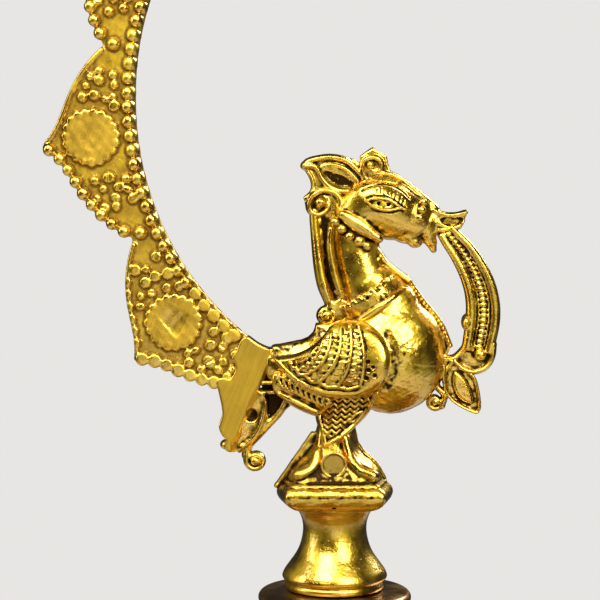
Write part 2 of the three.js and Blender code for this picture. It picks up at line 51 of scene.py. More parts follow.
MM = 0.001
FINIAL_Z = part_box("finial_spool")[0].z / MM
FAR = 9.0  # a distance that is surely outside
BASE_BLEND = 0.01  # joins a piece's first form to the empty block


# ---- Curves in x and z ----

def smooth(points, per=6, closed=False):
    """A smooth line through points of any number of coordinates."""
    p = np.array(points, float)
    if closed:
        p = np.vstack([p[-1], p, p[:2]])
    else:
        p = np.vstack([2 * p[0] - p[1], p, 2 * p[-1] - p[-2]])
    t = np.linspace(0, 1, per, endpoint=False)[:, None]
    out = []
    for a, b, c, d in zip(p, p[1:], p[2:], p[3:]):
        bend, twist = 2 * a - 5 * b + 4 * c - d, 3 * b - a - 3 * c + d
        out.append(0.5 * (2 * b + (c - a) * t + bend * t**2 + twist * t**3))
    line = np.vstack(out)
    return line if closed else np.vstack([line, p[-2]])


def spiral(centre, outer, inner, start, turns, count=26):
    """A volute from its outer end inwards. start is in degrees above +x; negative turns run clockwise."""
    t = np.linspace(0, 1, count)
    angle = np.radians(start) + t * turns * 2 * math.pi
    radius = outer + (inner - outer) * t
    return np.stack([centre[0] + radius * np.cos(angle), centre[1] + radius * np.sin(angle)], 1)


def spread(values, count):
    """One value or several, spread evenly over so many places."""
    values = np.atleast_1d(values)
    return np.interp(np.linspace(0, 1, count), np.linspace(0, 1, len(values)), values)


def spaced(line, pitch):
    """Points along a line, pitch apart."""
    line = np.array(line, float)
    step = np.hypot(*np.diff(line[:, :2], axis=0).T)
    along = np.concatenate([[0], np.cumsum(step)])
    count = max(2, int(round(along[-1] / pitch)) + 1)
    at = np.linspace(0, along[-1], count)
    return np.stack([np.interp(at, along, line[:, k]) for k in range(line.shape[1])], 1)


def smooth_min(a, b, k):
    h = np.clip(0.5 + 0.5 * (b - a) / k, 0, 1)
    return b + (a - b) * h - k * h * (1 - h)


def smooth_max(a, b, k):
    return -smooth_min(-a, -b, k)


# ---- Relief: a map of heights over x and z ----

class Relief:
    """Heights over x and z, with marks for where the metal is filed and where painted shade darkens it."""

    def __init__(self, x, z):
        self.x, self.z = x, z
        self.height = np.zeros((len(x), len(z)), np.float32)
        self.filed = np.zeros_like(self.height)
        # How much darker each place is painted: painted shade, not the metal's own colour
        self.painted_shade = np.zeros_like(self.height)

    def window(self, points, margin):
        low, high = np.min(points, 0) - margin, np.max(points, 0) + margin
        i = slice(*np.searchsorted(self.x, [low[0], high[0]]))
        k = slice(*np.searchsorted(self.z, [low[1], high[1]]))
        return (i, k), self.x[i][:, None], self.z[k][None, :]

    def line_distance(self, line, margin):
        """Where, the distance to a line, and the share of the line's length at its nearest place."""
        line = np.array(line, float)[:, :2]
        where, x, z = self.window(line, margin)
        best = np.full((x.shape[0], z.shape[1]), FAR * 9, np.float32)
        along = np.zeros_like(best)
        last = len(line) - 1
        for k, (a, b) in enumerate(zip(line, line[1:])):
            d = b - a
            t = np.clip(((x - a[0]) * d[0] + (z - a[1]) * d[1]) / max(d @ d, 1e-9), 0, 1)
            away = np.hypot(x - a[0] - t * d[0], z - a[1] - t * d[1])
            nearer = away < best
            best[nearer] = away[nearer]
            along[nearer] = ((k + t) / last)[nearer]
        return where, best, along

    def ridge(self, line, half, rise, base=0.0, round_top=0.5):
        """A rounded ridge along a line. half is one half width, or several from start to end."""
        halves = np.atleast_1d(half).astype(float)
        where, away, along = self.line_distance(line, halves.max() + 0.5)
        wide = np.interp(along, np.linspace(0, 1, len(halves)), halves)
        share = np.clip(1 - (away / np.maximum(wide, 1e-3)) ** 2, 0, 1)
        top = np.where(share > 0, base + rise * share**round_top, 0)
        self.height[where] = np.maximum(self.height[where], top)

    def groove(self, line, half, depth):
        where, away, along = self.line_distance(line, half + 0.5)
        share = np.clip(1 - (away / half) ** 2, 0, 1)
        self.height[where] -= depth * np.sqrt(share)

    def bead(self, at, radius, base=0.0, cut=None, stretch=1.0, turn=0.0):
        """A round or oval bead. cut files its top flat at that height."""
        where, x, z = self.window([at], radius * max(stretch, 1) + 0.5)
        c, s = math.cos(turn), math.sin(turn)
        u = ((x - at[0]) * c + (z - at[1]) * s) / stretch
        v = -(x - at[0]) * s + (z - at[1]) * c
        share = np.clip(1 - (u * u + v * v) / radius**2, 0, 1)
        top = radius * np.sqrt(share)
        if cut is not None:
            top = np.minimum(top, cut)
        self.height[where] = np.maximum(self.height[where], np.where(share > 0, base + top, 0))

    def pit(self, at, radius, depth):
        where, x, z = self.window([at], radius + 0.5)
        share = np.clip(1 - ((x - at[0]) ** 2 + (z - at[1]) ** 2) / radius**2, 0, 1)
        self.height[where] -= depth * np.sqrt(share)

    def paint_shade(self, outline, amount, soft=0.6):
        """Paints a place darker inside an outline: painted shade."""
        self.painted_shade = np.maximum(self.painted_shade, amount * np.clip(-self.inside(outline) / soft, 0, 1))

    def paint_shade_line(self, line, half, amount):
        # Paints shade along a line, darkest on the line itself
        where, away, _ = self.line_distance(line, half)
        self.painted_shade[where] = np.maximum(self.painted_shade[where], amount * np.clip(1 - (away / half) ** 2, 0, 1))

    def mark_filed(self, at, radius):
        where, x, z = self.window([at], radius)
        self.filed[where] = np.where(
            (x - at[0]) ** 2 + (z - at[1]) ** 2 < radius**2, 1.0, self.filed[where]
        )

    def inside(self, outline):
        """Signed distance to a closed outline over the whole map, negative inside."""
        line = np.array(outline, float)[:, :2]
        closed = np.vstack([line, line[:1]])
        x, z = self.x[:, None], self.z[None, :]
        best = np.full(self.height.shape, np.inf, np.float32)
        odd = np.zeros(self.height.shape, bool)
        for a, b in zip(closed, closed[1:]):
            d = b - a
            t = np.clip(((x - a[0]) * d[0] + (z - a[1]) * d[1]) / max(d @ d, 1e-9), 0, 1)
            best = np.minimum(best, (x - a[0] - t * d[0]) ** 2 + (z - a[1] - t * d[1]) ** 2)
            if a[1] != b[1]:
                at = (b[0] - a[0]) * (z - a[1]) / (b[1] - a[1]) + a[0]
                odd ^= ((a[1] > z) != (b[1] > z)) & (x < at)
        away = np.sqrt(best)
        return np.where(odd, -away, away).astype(np.float32)

    def panel(self, outline, rise, soft=0.8, base=0.0):
        """Raises what lies inside an outline, with a soft edge."""
        share = np.clip(-self.inside(outline) / soft, 0, 1)
        top = np.where(share > 0, base + rise * np.sqrt(share * (2 - share)), 0)
        self.height = np.maximum(self.height, top)


# ---- Clay: a distance field that is meshed where it is zero ----

class Clay:
    """A block from y = 0 outward. Its mesh is mirrored about y = 0 unless the piece sits on one side."""

    def __init__(self, low, high, deep, pitch=0.3):
        self.low, self.pitch = low, pitch
        self.ax, self.ay, self.az = (
            np.arange(start, end + pitch, pitch, dtype=np.float32)
            for start, end in ((low[0], high[0]), (0, deep), (low[1], high[1]))
        )
        self.x, self.y, self.z = self.ax[:, None, None], self.ay[None, :, None], self.az[None, None, :]
        self.field = np.full((len(self.ax), len(self.ay), len(self.az)), FAR, np.float32)

    def relief(self):
        return Relief(self.ax, self.az)

    def chain(self, balls, flat=1.0):
        """Distance to balls joined by cones, each (x, z, radius), squeezed along y."""
        y = self.y / flat
        found = None
        for (ax, az, ar), (bx, bz, br) in zip(balls, balls[1:]):
            dx, dz = bx - ax, bz - az
            t = np.clip(((self.x - ax) * dx + (self.z - az) * dz) / max(dx * dx + dz * dz, 1e-6), 0, 1)
            square = (self.x - ax - t * dx) ** 2 + (self.z - az - t * dz) ** 2
            away = np.sqrt(square + y * y) - (ar + (br - ar) * t)
            found = away if found is None else np.minimum(found, away)
        return found

    def egg(self, centre, radii, tilt=0.0):
        """Distance to an ellipsoid (x, y, z centre and radii), tilted in x-z by degrees."""
        c, s = math.cos(math.radians(tilt)), math.sin(math.radians(tilt))
        dx, dz = self.x - centre[0], self.z - centre[2]
        u, v, w = dx * c + dz * s, self.y - centre[1], -dx * s + dz * c
        size = np.sqrt((u / radii[0]) ** 2 + (v / radii[1]) ** 2 + (w / radii[2]) ** 2)
        return (size - 1) * min(radii)

    def add(self, distance, blend=0.4):
        self.field = smooth_min(self.field, distance, blend).astype(np.float32)

    def rod(self, line, radius, flat=1.5, blend=0.25):
        """Adds a rod along a line. radius is one value, or several from start to end."""
        radii = spread(radius, len(line))
        self.add(self.chain([(x, z, r) for (x, z), r in zip(line, radii)], flat), blend)

    def emboss(self, relief):
        """Lays the relief's heights on the surface."""
        self.field = (self.field - relief.height[:, None, :]).astype(np.float32)

    def cover(self, body, top, inside, rise, soft, edge, under, clear=1.0, past=0.0):
        """Becomes a plate on a body's side, rise thick with the relief on it. It reaches under the body's
        surface and past its own outline, and stays clear of the middle plane."""
        share = np.clip(-inside / soft, 0, 1)
        thick = rise * np.sqrt(share * (2 - share)) + top.height
        self.field = (body - thick[:, None, :]).astype(np.float32)
        self.keep(inside[:, None, :] - past, edge)
        self.cut(body + under, 0.2)
        self.keep(clear - self.y, 0.2)

    def cut(self, distance, blend=0.3):
        self.field = smooth_max(self.field, -distance, blend).astype(np.float32)

    def keep(self, distance, blend=0.3):
        self.field = smooth_max(self.field, distance, blend).astype(np.float32)

    def plate(self, inside, half_thick, edge=0.5):
        """Distance to a plate of an outline's shape. Its half thickness may vary over x and z."""
        thick = np.asarray(half_thick, np.float32)
        if thick.ndim == 2:
            thick = thick[:, None, :]
        return smooth_max(np.asarray(inside)[:, None, :], self.y - thick, edge)

    def wobble(self, size, strength):
        """The slight unevenness of a hand-finished casting."""
        k = 2 * math.pi / size
        waves = np.sin(self.x * k + 2.1 * np.sin(self.z * k * 0.7)) * np.sin(self.z * k * 1.1 + self.y * k)
        self.field = (self.field + strength * waves).astype(np.float32)

    def mesh(self, side=0):
        """Points in millimetres, quads, and how proud each point stands of its surroundings. side 1 or -1
        gives one side only."""
        field, y0 = self.field, 0.0
        if side == 0:
            field = np.concatenate([field[:, :0:-1], field], axis=1)
            y0 = -(self.field.shape[1] - 1) * self.pitch
        field = np.ascontiguousarray(np.clip(field, -FAR, FAR))
        grid = openvdb.FloatGrid(background=FAR)
        grid.copyFromArray(field, tolerance=0.0)
        grid.gridClass = openvdb.GridClass.LEVEL_SET
        spots, quads = grid.convertToQuads(isovalue=0.0)
        proud = sample(blurred(field, max(2, round(0.75 / self.pitch))), spots)
        points = spots * self.pitch + np.array([self.low[0], y0, self.low[1]])
        if side == -1:
            points[:, 1] *= -1
            quads = quads[:, ::-1]
        return points, quads, proud


def blurred(field, reach):
    """The mean of the field in a box that reaches so many cells each way."""
    for axis in range(3):
        padded = np.pad(
            field, [(reach + 1, reach) if a == axis else (0, 0) for a in range(3)], mode="edge"
        )
        total = np.cumsum(padded, axis=axis, dtype=np.float64)
        high = np.take(total, range(2 * reach + 1, total.shape[axis]), axis=axis)
        low = np.take(total, range(0, total.shape[axis] - 2 * reach - 1), axis=axis)
        field = ((high - low) / (2 * reach + 1)).astype(np.float32)
    return field


def sample(field, spots):
    """The field's values at spots between its cells."""
    cell = np.clip(np.floor(spots).astype(int), 0, np.array(field.shape) - 2)
    part = spots - cell
    value = np.zeros(len(spots))
    for corner in np.ndindex(2, 2, 2):
        weight = np.prod(np.where(corner, part, 1 - part), axis=1)
        value += weight * field[tuple((cell + corner).T)]
    return value


# ---- Pieces ----

def make_piece(name, points, faces, proud, look, body, replaces=(), filed=None):
    """Makes a mesh object from points in millimetres in the lamp's frame and rides it on a body."""
    faces = np.asarray(faces, np.int32)
    mesh = bpy.data.meshes.new(name)
    mesh.vertices.add(len(points))
    mesh.vertices.foreach_set("co", (np.asarray(points) * MM).astype(np.float32).ravel())
    mesh.loops.add(faces.size)
    mesh.loops.foreach_set("vertex_index", faces.ravel())
    mesh.polygons.add(len(faces))
    mesh.polygons.foreach_set("loop_start", np.arange(0, faces.size, faces.shape[1], dtype=np.int32))
    mesh.polygons.foreach_set("use_smooth", np.ones(len(faces), bool))
    mesh.update(calc_edges=True)
    mesh.validate()
    attribute = mesh.attributes.new("proud", "FLOAT", "POINT")
    attribute.data.foreach_set("value", np.asarray(proud, np.float32))
    if filed is not None:
        attribute = mesh.attributes.new("filed", "FLOAT", "POINT")
        attribute.data.foreach_set("value", np.asarray(filed, np.float32))
    piece = bpy.data.objects.new(name, mesh)
    bpy.context.scene.collection.objects.link(piece)
    mesh.materials.append(look)
    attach(piece, body)
    if replaces:
        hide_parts(*replaces)
    return piece


def cast_piece(name, clay, look, replaces, side=0, marks=None):
    """Meshes clay as a piece of the finial. marks is the relief that says where it is filed and where
    painted shade darkens it.
    """
    points, quads, proud = clay.mesh(side)
    filed = None
    if marks is not None:
        i = np.clip(((points[:, 0] - clay.low[0]) / clay.pitch).round().astype(int), 0, len(clay.ax) - 1)
        k = np.clip(((points[:, 2] - clay.low[1]) / clay.pitch).round().astype(int), 0, len(clay.az) - 1)
        filed = marks.filed[i, k]
        # Painted shade lowers proud, so these places take the dark hollow colour
        proud = proud - marks.painted_shade[i, k]
    points[:, 2] += FINIAL_Z
    return make_piece(name, points, quads, proud, look, "finial", replaces, filed)


def cast_pair(name, clay, look):
    """The same piece on the bird's two sides."""
    for side, which in ((-1, "_near"), (1, "_far")):
        cast_piece(name + which + "_cast", clay, look, [name + which], side)


# ---- Turned pieces ----

def eased(profile, sharp=35.0, corner=0.55):
    """Rounds a closed profile: gentle bends become curves, and corners get a small radius."""
    p = np.array(profile, float)
    out = []
    for a, b, c in zip(np.roll(p, 1, 0), p, np.roll(p, -1, 0)):
        back, on = a - b, c - b
        lb, lo = np.hypot(*back), np.hypot(*on)
        if lb < 1e-6 or lo < 1e-6:
            continue
        turn = 180 - math.degrees(math.acos(np.clip(back @ on / (lb * lo), -1, 1)))
        reach = 0.48 * min(lb, lo)
        if turn > sharp:
            reach = min(reach, corner)
        start, end = b + back / lb * reach, b + on / lo * reach
        if b[0] < 0.01:
            out.append(b)
            continue
        for t in np.linspace(0, 1, 7):
            out.append((1 - t) ** 2 * start + 2 * t * (1 - t) * b + t**2 * end)
    return np.array(out)


LAP_STEP = 0.2  # how finely a profile is measured


def proudness(profile, reach=1.6):
    """How far each point of a closed profile stands out from the mean of its neighbourhood."""
    closed = np.vstack([profile, profile[:1]])
    step = np.hypot(*np.diff(closed, axis=0).T)
    along = np.concatenate([[0], np.cumsum(step)])
    total = along[-1]
    found = np.zeros(len(profile))
    dense = np.stack([np.interp(np.arange(0, total, LAP_STEP), along, c) for c in closed.T], 1)
    area = 0.5 * np.sum(closed[:-1, 0] * closed[1:, 1] - closed[1:, 0] * closed[:-1, 1])
    for i, s in enumerate(along[:-1]):
        at = (np.arange(s - reach, s + reach, LAP_STEP) / LAP_STEP).astype(int) % len(dense)
        mean = dense[at].mean(0)
        after, before = (dense[int((s + d) / LAP_STEP) % len(dense)] for d in (0.4, -0.4))
        tangent = after - before
        normal = np.array([tangent[1], -tangent[0]]) * np.sign(area)
        found[i] = (profile[i] - mean) @ normal / max(np.hypot(*normal), 1e-6)
    return found


def turned_piece(name, profile, look, body, replaces, segments=144):
    """Revolves a closed profile of (radius, height) in millimetres in the lamp's frame."""
    profile = np.array(profile, float)
    proud = proudness(profile)
    count = len(profile)
    turn = np.linspace(0, 2 * math.pi, segments, endpoint=False)
    r, z = np.maximum(profile[:, 0], 0.0), profile[:, 1]
    points = np.stack(
        [np.outer(np.cos(turn), r), np.outer(np.sin(turn), r), np.tile(z, (segments, 1))], 2
    )
    i, k = np.meshgrid(np.arange(segments), np.arange(count), indexing="ij")
    i2, k2 = (i + 1) % segments, (k + 1) % count
    faces = np.stack([i * count + k, i2 * count + k, i2 * count + k2, i * count + k2], 2).reshape(-1, 4)
    area = 0.5 * np.sum(r * np.roll(z, -1) - np.roll(r, -1) * z)
    if area < 0:
        faces = faces[:, ::-1]
    flat = points.reshape(-1, 3)
    on_axis = np.maximum(r[faces[:, 0] % count], r[faces[:, 2] % count]) < 0.02
    return make_piece(name, flat, faces[~on_axis], np.tile(proud, segments), look, body, replaces)


# ---- Looks ----

BRASS = (0.83, 0.55, 0.030)
BRASS_WARM = (0.72, 0.41, 0.015)
# A darker brass for the dish and the post: painted shade, since that surface sits in shade
BRASS_SHADED = (0.40, 0.23, 0.05)
# The colour of hollows: the metal's patina, and painted shade standing in for occlusion
PATINA_AND_SHADE = (0.030, 0.015, 0.004)
# The tail's hollow colour: a brown ground darkened as painted shade in the recesses
GROUND_SHADE_BROWN = (0.12, 0.065, 0.012)
BRASS_FILED = (0.66, 0.41, 0.045)
RIVET_FILED = (0.30, 0.20, 0.030)
STREAK_TURN = 23.5  # degrees, the way the file was drawn
STEEL = (0.42, 0.42, 0.43)
RUBBER = (0.012, 0.011, 0.010)


def shader_tree(name):
    look = bpy.data.materials.new(name)
    look.use_nodes = True
    return look, look.node_tree, look.node_tree.nodes["Principled BSDF"]


def node(tree, kind, **settings):
    made = tree.nodes.new(kind)
    for key, value in settings.items():
        setattr(made, key, value)
    return made


def noise(tree, scale, detail=3.0, stretch=None, turn=0.0):
    """Noise over the piece's own coordinates, in metres, drawn out along an axis that is turned about y."""
    where = node(tree, "ShaderNodeTexCoord").outputs["Object"]
    if stretch:
        mapping = node(tree, "ShaderNodeMapping", vector_type="TEXTURE")
        mapping.inputs["Rotation"].default_value = (0, math.radians(turn), 0)
        mapping.inputs["Scale"].default_value = stretch
        tree.links.new(where, mapping.inputs["Vector"])
        where = mapping.outputs["Vector"]
    made = node(tree, "ShaderNodeTexNoise")
    made.inputs["Scale"].default_value = scale
    made.inputs["Detail"].default_value = detail
    tree.links.new(where, made.inputs["Vector"])
    return made.outputs["Fac"]


def ramp(tree, value, low, high, start=0.0, end=1.0):
    made = node(tree, "ShaderNodeMapRange", interpolation_type="SMOOTHSTEP")
    for key, number in (("From Min", low), ("From Max", high), ("To Min", start), ("To Max", end)):
        made.inputs[key].default_value = number
    tree.links.new(value, made.inputs["Value"])
    return made.outputs["Result"]


def blend_colour(tree, share, a, b):
    made = node(tree, "ShaderNodeMix", data_type="RGBA")
    tree.links.new(share, made.inputs["Factor"])
    for socket, colour in ((made.inputs["A"], a), (made.inputs["B"], b)):
        if isinstance(colour, tuple):
            socket.default_value = (*colour, 1)
        else:
            tree.links.new(colour, socket)
    return made.outputs["Result"]


def math_node(tree, operation, a, b):
    made = node(tree, "ShaderNodeMath", operation=operation)
    for socket, value in ((made.inputs[0], a), (made.inputs[1], b)):
        if isinstance(value, (int, float)):
            socket.default_value = value
        else:
            tree.links.new(value, socket)
    return made.outputs["Value"]


def bump(tree, height, distance, strength, under=None):
    made = node(tree, "ShaderNodeBump")
    made.inputs["Distance"].default_value = distance
    made.inputs["Strength"].default_value = strength
    tree.links.new(height, made.inputs["Height"])
    if under is not None:
        tree.links.new(under, made.inputs["Normal"])
    return made.outputs["Normal"]


def brass_look(name, bright=BRASS, warm=BRASS_WARM, gloss=0.27, hollow=(-0.17, -0.01), patina_and_shade_colour=PATINA_AND_SHADE,
               filed_colour=BRASS_FILED, grit=0.5, lathe=0.0):
    """Polished brass whose hollows are darkened, partly as patina and partly as painted shade. grit is the
    cast skin, lathe the rings of turning.
    """
    look, tree, shader = shader_tree(name)
    proud = node(tree, "ShaderNodeAttribute", attribute_name="proud").outputs["Fac"]
    filed = node(tree, "ShaderNodeAttribute", attribute_name="filed").outputs["Fac"]
    cloudy = noise(tree, 170, 4)
    fine = noise(tree, 620, 5)
    # This mask is 0 in hollows and under painted shade, 1 on proud metal
    bare_of_patina_and_shade = ramp(tree, math_node(tree, "ADD", proud, ramp(tree, fine, 0.3, 0.7, -0.08, 0.08)), *hollow)
    metal = blend_colour(tree, ramp(tree, cloudy, 0.35, 0.65), warm, bright)
    # Hollows take the dark colour: patina partly, painted shade partly
    colour = blend_colour(tree, bare_of_patina_and_shade, patina_and_shade_colour, metal)
    streaks = noise(tree, 70, 5, (0.022, 1.0, 1.0), STREAK_TURN)
    darker = tuple(c * 0.84 for c in filed_colour)
    flat = blend_colour(tree, ramp(tree, streaks, 0.38, 0.62), darker, filed_colour)
    colour = blend_colour(tree, math_node(tree, "MULTIPLY", filed, 0.85), colour, flat)
    tree.links.new(colour, shader.inputs["Base Color"])
    rough = ramp(tree, cloudy, 0.3, 0.75, gloss * 0.8, gloss * 1.45)
    rough = math_node(tree, "ADD", rough, ramp(tree, bare_of_patina_and_shade, 0, 1, 0.28, 0.0))
    rough = math_node(tree, "ADD", rough, math_node(tree, "MULTIPLY", filed, 0.16))
    tree.links.new(rough, shader.inputs["Roughness"])
    shader.inputs["Metallic"].default_value = 1.0
    polish = math_node(tree, "MULTIPLY", bare_of_patina_and_shade, math_node(tree, "SUBTRACT", 1.0, filed))
    tree.links.new(polish, shader.inputs["Coat Weight"])
    shader.inputs["Coat Roughness"].default_value = 0.10
    shader.inputs["Coat IOR"].default_value = 1.7
    pits = ramp(tree, noise(tree, 1300, 1), 0.22, 0.30)
    normal = bump(tree, pits, 0.00006, grit)
    normal = bump(tree, noise(tree, 1400, 4), 0.00009, grit, normal)
    normal = bump(tree, noise(tree, 620, 3), 0.00009, grit, normal)
    normal = bump(tree, noise(tree, 260, 2), 0.00014, 0.6 * grit, normal)
    normal = bump(tree, streaks, 0.00003, 0.35, normal)
    if lathe:
        normal = bump(tree, noise(tree, 90, 3, (1.0, 1.0, 0.04)), 0.00004, lathe, normal)
    for socket in ("Normal", "Coat Normal"):
        tree.links.new(normal, shader.inputs[socket])
    return look


def plain_look(name, colour, metallic, rough, grain, depth):
    look, tree, shader = shader_tree(name)
    mottle = noise(tree, grain, 4)
    darker = tuple(c * 0.6 for c in colour)
    tree.links.new(blend_colour(tree, ramp(tree, mottle, 0.3, 0.7), darker, colour),
        shader.inputs["Base Color"])
    tree.links.new(ramp(tree, mottle, 0.3, 0.7, rough * 0.8, rough * 1.25), shader.inputs["Roughness"])
    shader.inputs["Metallic"].default_value = metallic
    tree.links.new(bump(tree, noise(tree, grain * 4, 3), depth, 0.5), shader.inputs["Normal"])
    return look


# ---- The stand, the dish and the post ----

ROD_HOLE_R = 5.2  # lets the tie rod through


def ring_profile(outside):
    """Closes an outline from bottom to top over the rod's hole."""
    return [(ROD_HOLE_R, outside[0][1]), *outside, (ROD_HOLE_R, outside[-1][1])]


def build_stand(look):
    base = {
        n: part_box(n)[0].z / MM
        for n in ("bell_foot", "stem_lower", "stem_knop", "stem_upper", "dish_calyx")
    }
    foot = [
        (94, 0), (100, 0), (100, 1.6), (98.8, 2.4), (99.8, 3.4), (100, 5), (96, 7.5), (93.6, 7.9),
        (92.2, 7.3), (91, 8.5), (89.5, 12.5), (87.4, 12.9), (86.6, 12.3), (85, 13.4), (76, 16.3),
        (68, 19), (60.5, 22.6), (54, 26.5), (49, 31), (45, 36), (42.6, 39.6), (42, 42), (44.2, 43.2),
        (45, 45), (44.6, 47.2), (43, 48.6), (39.4, 49.2), (38.6, 48.7), (37.4, 49.9), (33, 51),
        (28, 52.4), (25, 54), (24, 57.7), (ROD_HOLE_R, 57.7), (ROD_HOLE_R, 50), (18, 50), (31, 46.5),
        (37, 40), (41, 33), (50, 22.5), (65, 15), (80, 11), (87, 8), (93, 4),
    ]
    lower = [
        (21, 0), (21.2, 2.4), (20.4, 2.9), (21, 3.5), (20.4, 5.2), (16, 8), (12.6, 11), (11, 15),
        (11.6, 16.4), (13.5, 18), (13.5, 21), (11.4, 22.4), (10, 24), (11.4, 28.6), (14.5, 34),
        (16.4, 40), (17, 46), (16.2, 52), (14, 58), (11, 64), (9, 70), (8.8, 73.4), (9.4, 76),
        (12, 77.2), (13.2, 79), (13.2, 81.4), (12.2, 83.2), (11, 84.6), (11.4, 86.6), (13.4, 88.8),
        (15, 91.7),
    ]
    knop = [
        (15.6, 0), (16.4, 1.2), (15.8, 2.6), (17.4, 3.4), (22, 7), (25.2, 11), (26.6, 14.6),
        (26.6, 16.2), (27.2, 17), (27.2, 19), (26.6, 19.8), (26.6, 21.4), (25.2, 25), (22, 29),
        (17.4, 32.6), (15.8, 33.4), (16.4, 34.6), (15.6, 35.7),
    ]
    upper = [
        (15, 0), (15.2, 2), (14.4, 2.5), (14.8, 3.4), (12.6, 5.6), (10.5, 8), (11.2, 9.8), (13, 12),
        (13, 15), (10.6, 17), (9, 19.6), (9, 27), (10.6, 33.6), (13.5, 42), (15.4, 49), (16, 56),
        (15, 61), (13, 66), (10.6, 70.4), (9.5, 74), (11, 76), (12.5, 78), (12.5, 82), (10.8, 84),
        (9.5, 86), (10, 90), (11.5, 94), (13.6, 96.6), (15, 99.7),
    ]
    calyx = [
        (14, 0), (16.4, 1.8), (17, 4), (15.8, 6), (14, 8), (15.4, 10), (18, 12), (22.6, 14.4),
        (25.4, 15.6), (25.8, 17), (28, 18), (31.6, 20), (35, 23), (36, 25.7),
    ]
    shapes = {
        "stem_lower": ring_profile(lower), "stem_knop": ring_profile(knop),
        "stem_upper": ring_profile(upper), "dish_calyx": ring_profile(calyx), "bell_foot": foot,
    }
    for name, shape in shapes.items():
        profile = eased([(r, z + base[name]) for r, z in shape])
        segments = 288 if name == "bell_foot" else 128
        turned_piece(name + "_turned", profile, look, "stand", [name], segments)


def spout_pull(angle, spouts=5, reach=0.34):
    """How strongly the rim is drawn out at an angle: 1 at the middle of a spout, 0 between spouts."""
    period = 2 * math.pi / spouts
    away = np.abs((angle + period / 2) % period - period / 2)
    return np.where(away < reach, np.maximum(1 - away / reach, 0) ** 1.6, 0)


def build_dish(look):
    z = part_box("oil_dish")[0].z / MM
    rim_r = 87.0
    section = [
        (ROD_HOLE_R, 0), (30, 0), (46, 1.5), (54, 3.5), (62, 6), (68, 8.9), (74, 12.5), (78.4, 15.6),
        (82, 19), (84.8, 21), (rim_r - 0.4, 22.4), (rim_r + 0.9, 23.4), (rim_r, 24.5), (85.6, 24.4),
        (84.4, 23.8), (82, 22), (79.5, 20.5), (75.6, 17.6), (71.5, 15), (66, 11.8), (60, 9),
        (52.6, 6.5), (45, 4.8), (37.4, 3.8), (30, 3.5), (ROD_HOLE_R, 3.5),
    ]
    profile = eased([(r, h + z) for r, h in section])
    dish = turned_piece("oil_dish_spouted", profile, look, "stand", ["oil_dish"], 360)
    at = np.array([v.co for v in dish.data.vertices]) / MM
    r = np.hypot(at[:, 0], at[:, 1])
    share = np.clip((r - 48) / (rim_r - 48), 0, 1)
    outward = share**2 * (3 - 2 * share) * spout_pull(np.arctan2(at[:, 1], at[:, 0]))
    stretch = 1 + outward * 8.9 / np.maximum(r, 1)
    at[:, 0] *= stretch
    at[:, 1] *= stretch
    at[:, 2] += outward * 3
    dish.data.vertices.foreach_set("co", (at * MM).astype(np.float32).ravel())
    dish.data.update()


def build_post(look):
    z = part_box("dish_post")[0].z / MM
    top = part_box("dish_post")[1].z / MM - z
    outside = [
        (17, 0), (17.4, 1.6), (17, 3.5), (14.6, 4.8), (13, 6), (10.8, 8.6), (9.5, 12), (9, 17),
        (9.8, 18.8), (12, 20.5), (12.2, 22), (12, 24), (10.4, 25.6), (9.5, 27.5), (9.6, 31.6),
        (10.5, 36), (12, 39), (14, top - 7.5), (18.5, top - 4.6), (21.2, top - 3.6), (21.6, top - 2.6),
        (21.6, top - 1.6), (20.9, top - 0.6), (19.6, top - 0.2), (17.5, top),
    ]
    profile = [(0, z), *[(r, h + z) for r, h in outside], (0, top + z)]
    turned_piece("dish_post_turned", eased(profile), look, "post", ["dish_post"], 160)


def build_spool(look):
    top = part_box("bird_foot")[0].z / MM - FINIAL_Z
    outside = [
        (12.7, 0), (12.9, -0.5), (13.6, -0.6), (14.0, 0.2), (13.9, 0.9), (13.5, 1.4), (14.4, 2.1),
        (14.9, 3.0), (14.3, 4.6), (12.7, 6.8), (10.9, 9.3), (9.8, 11.6), (9.1, 14.4), (8.9, 16.6),
        (9.1, 18.6), (9.7, 20.4), (10.6, 22), (11.2, top + 0.4),
    ]
    profile = [(0, FINIAL_Z), *[(r, h + FINIAL_Z) for r, h in outside], (0, top + 0.4 + FINIAL_Z)]
    turned_piece(
        "finial_spool_turned", eased(profile), look, "finial", ["finial_spool"], 160
    )


# ---- The tail ----

TAIL_X, TAIL_Z = 28.0, 138.0
TAIL_IN, TAIL_NOTCH = 83.4, 93.0
LOBE_TIPS = (-41.3, -7.4, 26.5, 60.4)  # degrees
LOBE_REACH = {  # shoulder, tip
    -41.3: (106, 112.3), -7.4: (104, 110.8), 26.5: (104, 111.2), 60.4: (104, 110.6)
}
LOBE_BELOW, LOBE_ABOVE = 18, 16
TAIL_START, TAIL_END = -58, 81
# The tail's ground is matt filed (real), and darkened by so much painted shade
GROUND_MATT, GROUND_SHADE = 0.4, 0.13
TAIL_LEAF = ((86, 95.5), (91, 95), (96, 91.5), (101.5, 86.5), (96, 84.6), (90, 83.6))


def on_tail(angle, radius):
    a = np.radians(angle)
    return np.stack(np.broadcast_arrays(TAIL_X - radius * np.cos(a), TAIL_Z + radius * np.sin(a)), -1)


def inner_radius(angle):
    """The inner edge, which opens out a little towards the root."""
    return TAIL_IN + 1.7 * np.clip(-np.asarray(angle) / 50, 0, 1.2)


def rim_radius(angle):
    for tip in LOBE_TIPS:
        away = angle - tip
        half = LOBE_BELOW if away < 0 else LOBE_ABOVE
        if abs(away) < half:
            shoulder, point = LOBE_REACH[tip]
            arch = 1 - (abs(away) / half) ** (2.4 if away < 0 else 2.1)
            spike = (point - shoulder) * math.exp(-abs(away) / 2.6)
            return TAIL_NOTCH + (shoulder - TAIL_NOTCH) * arch + spike
    return TAIL_NOTCH


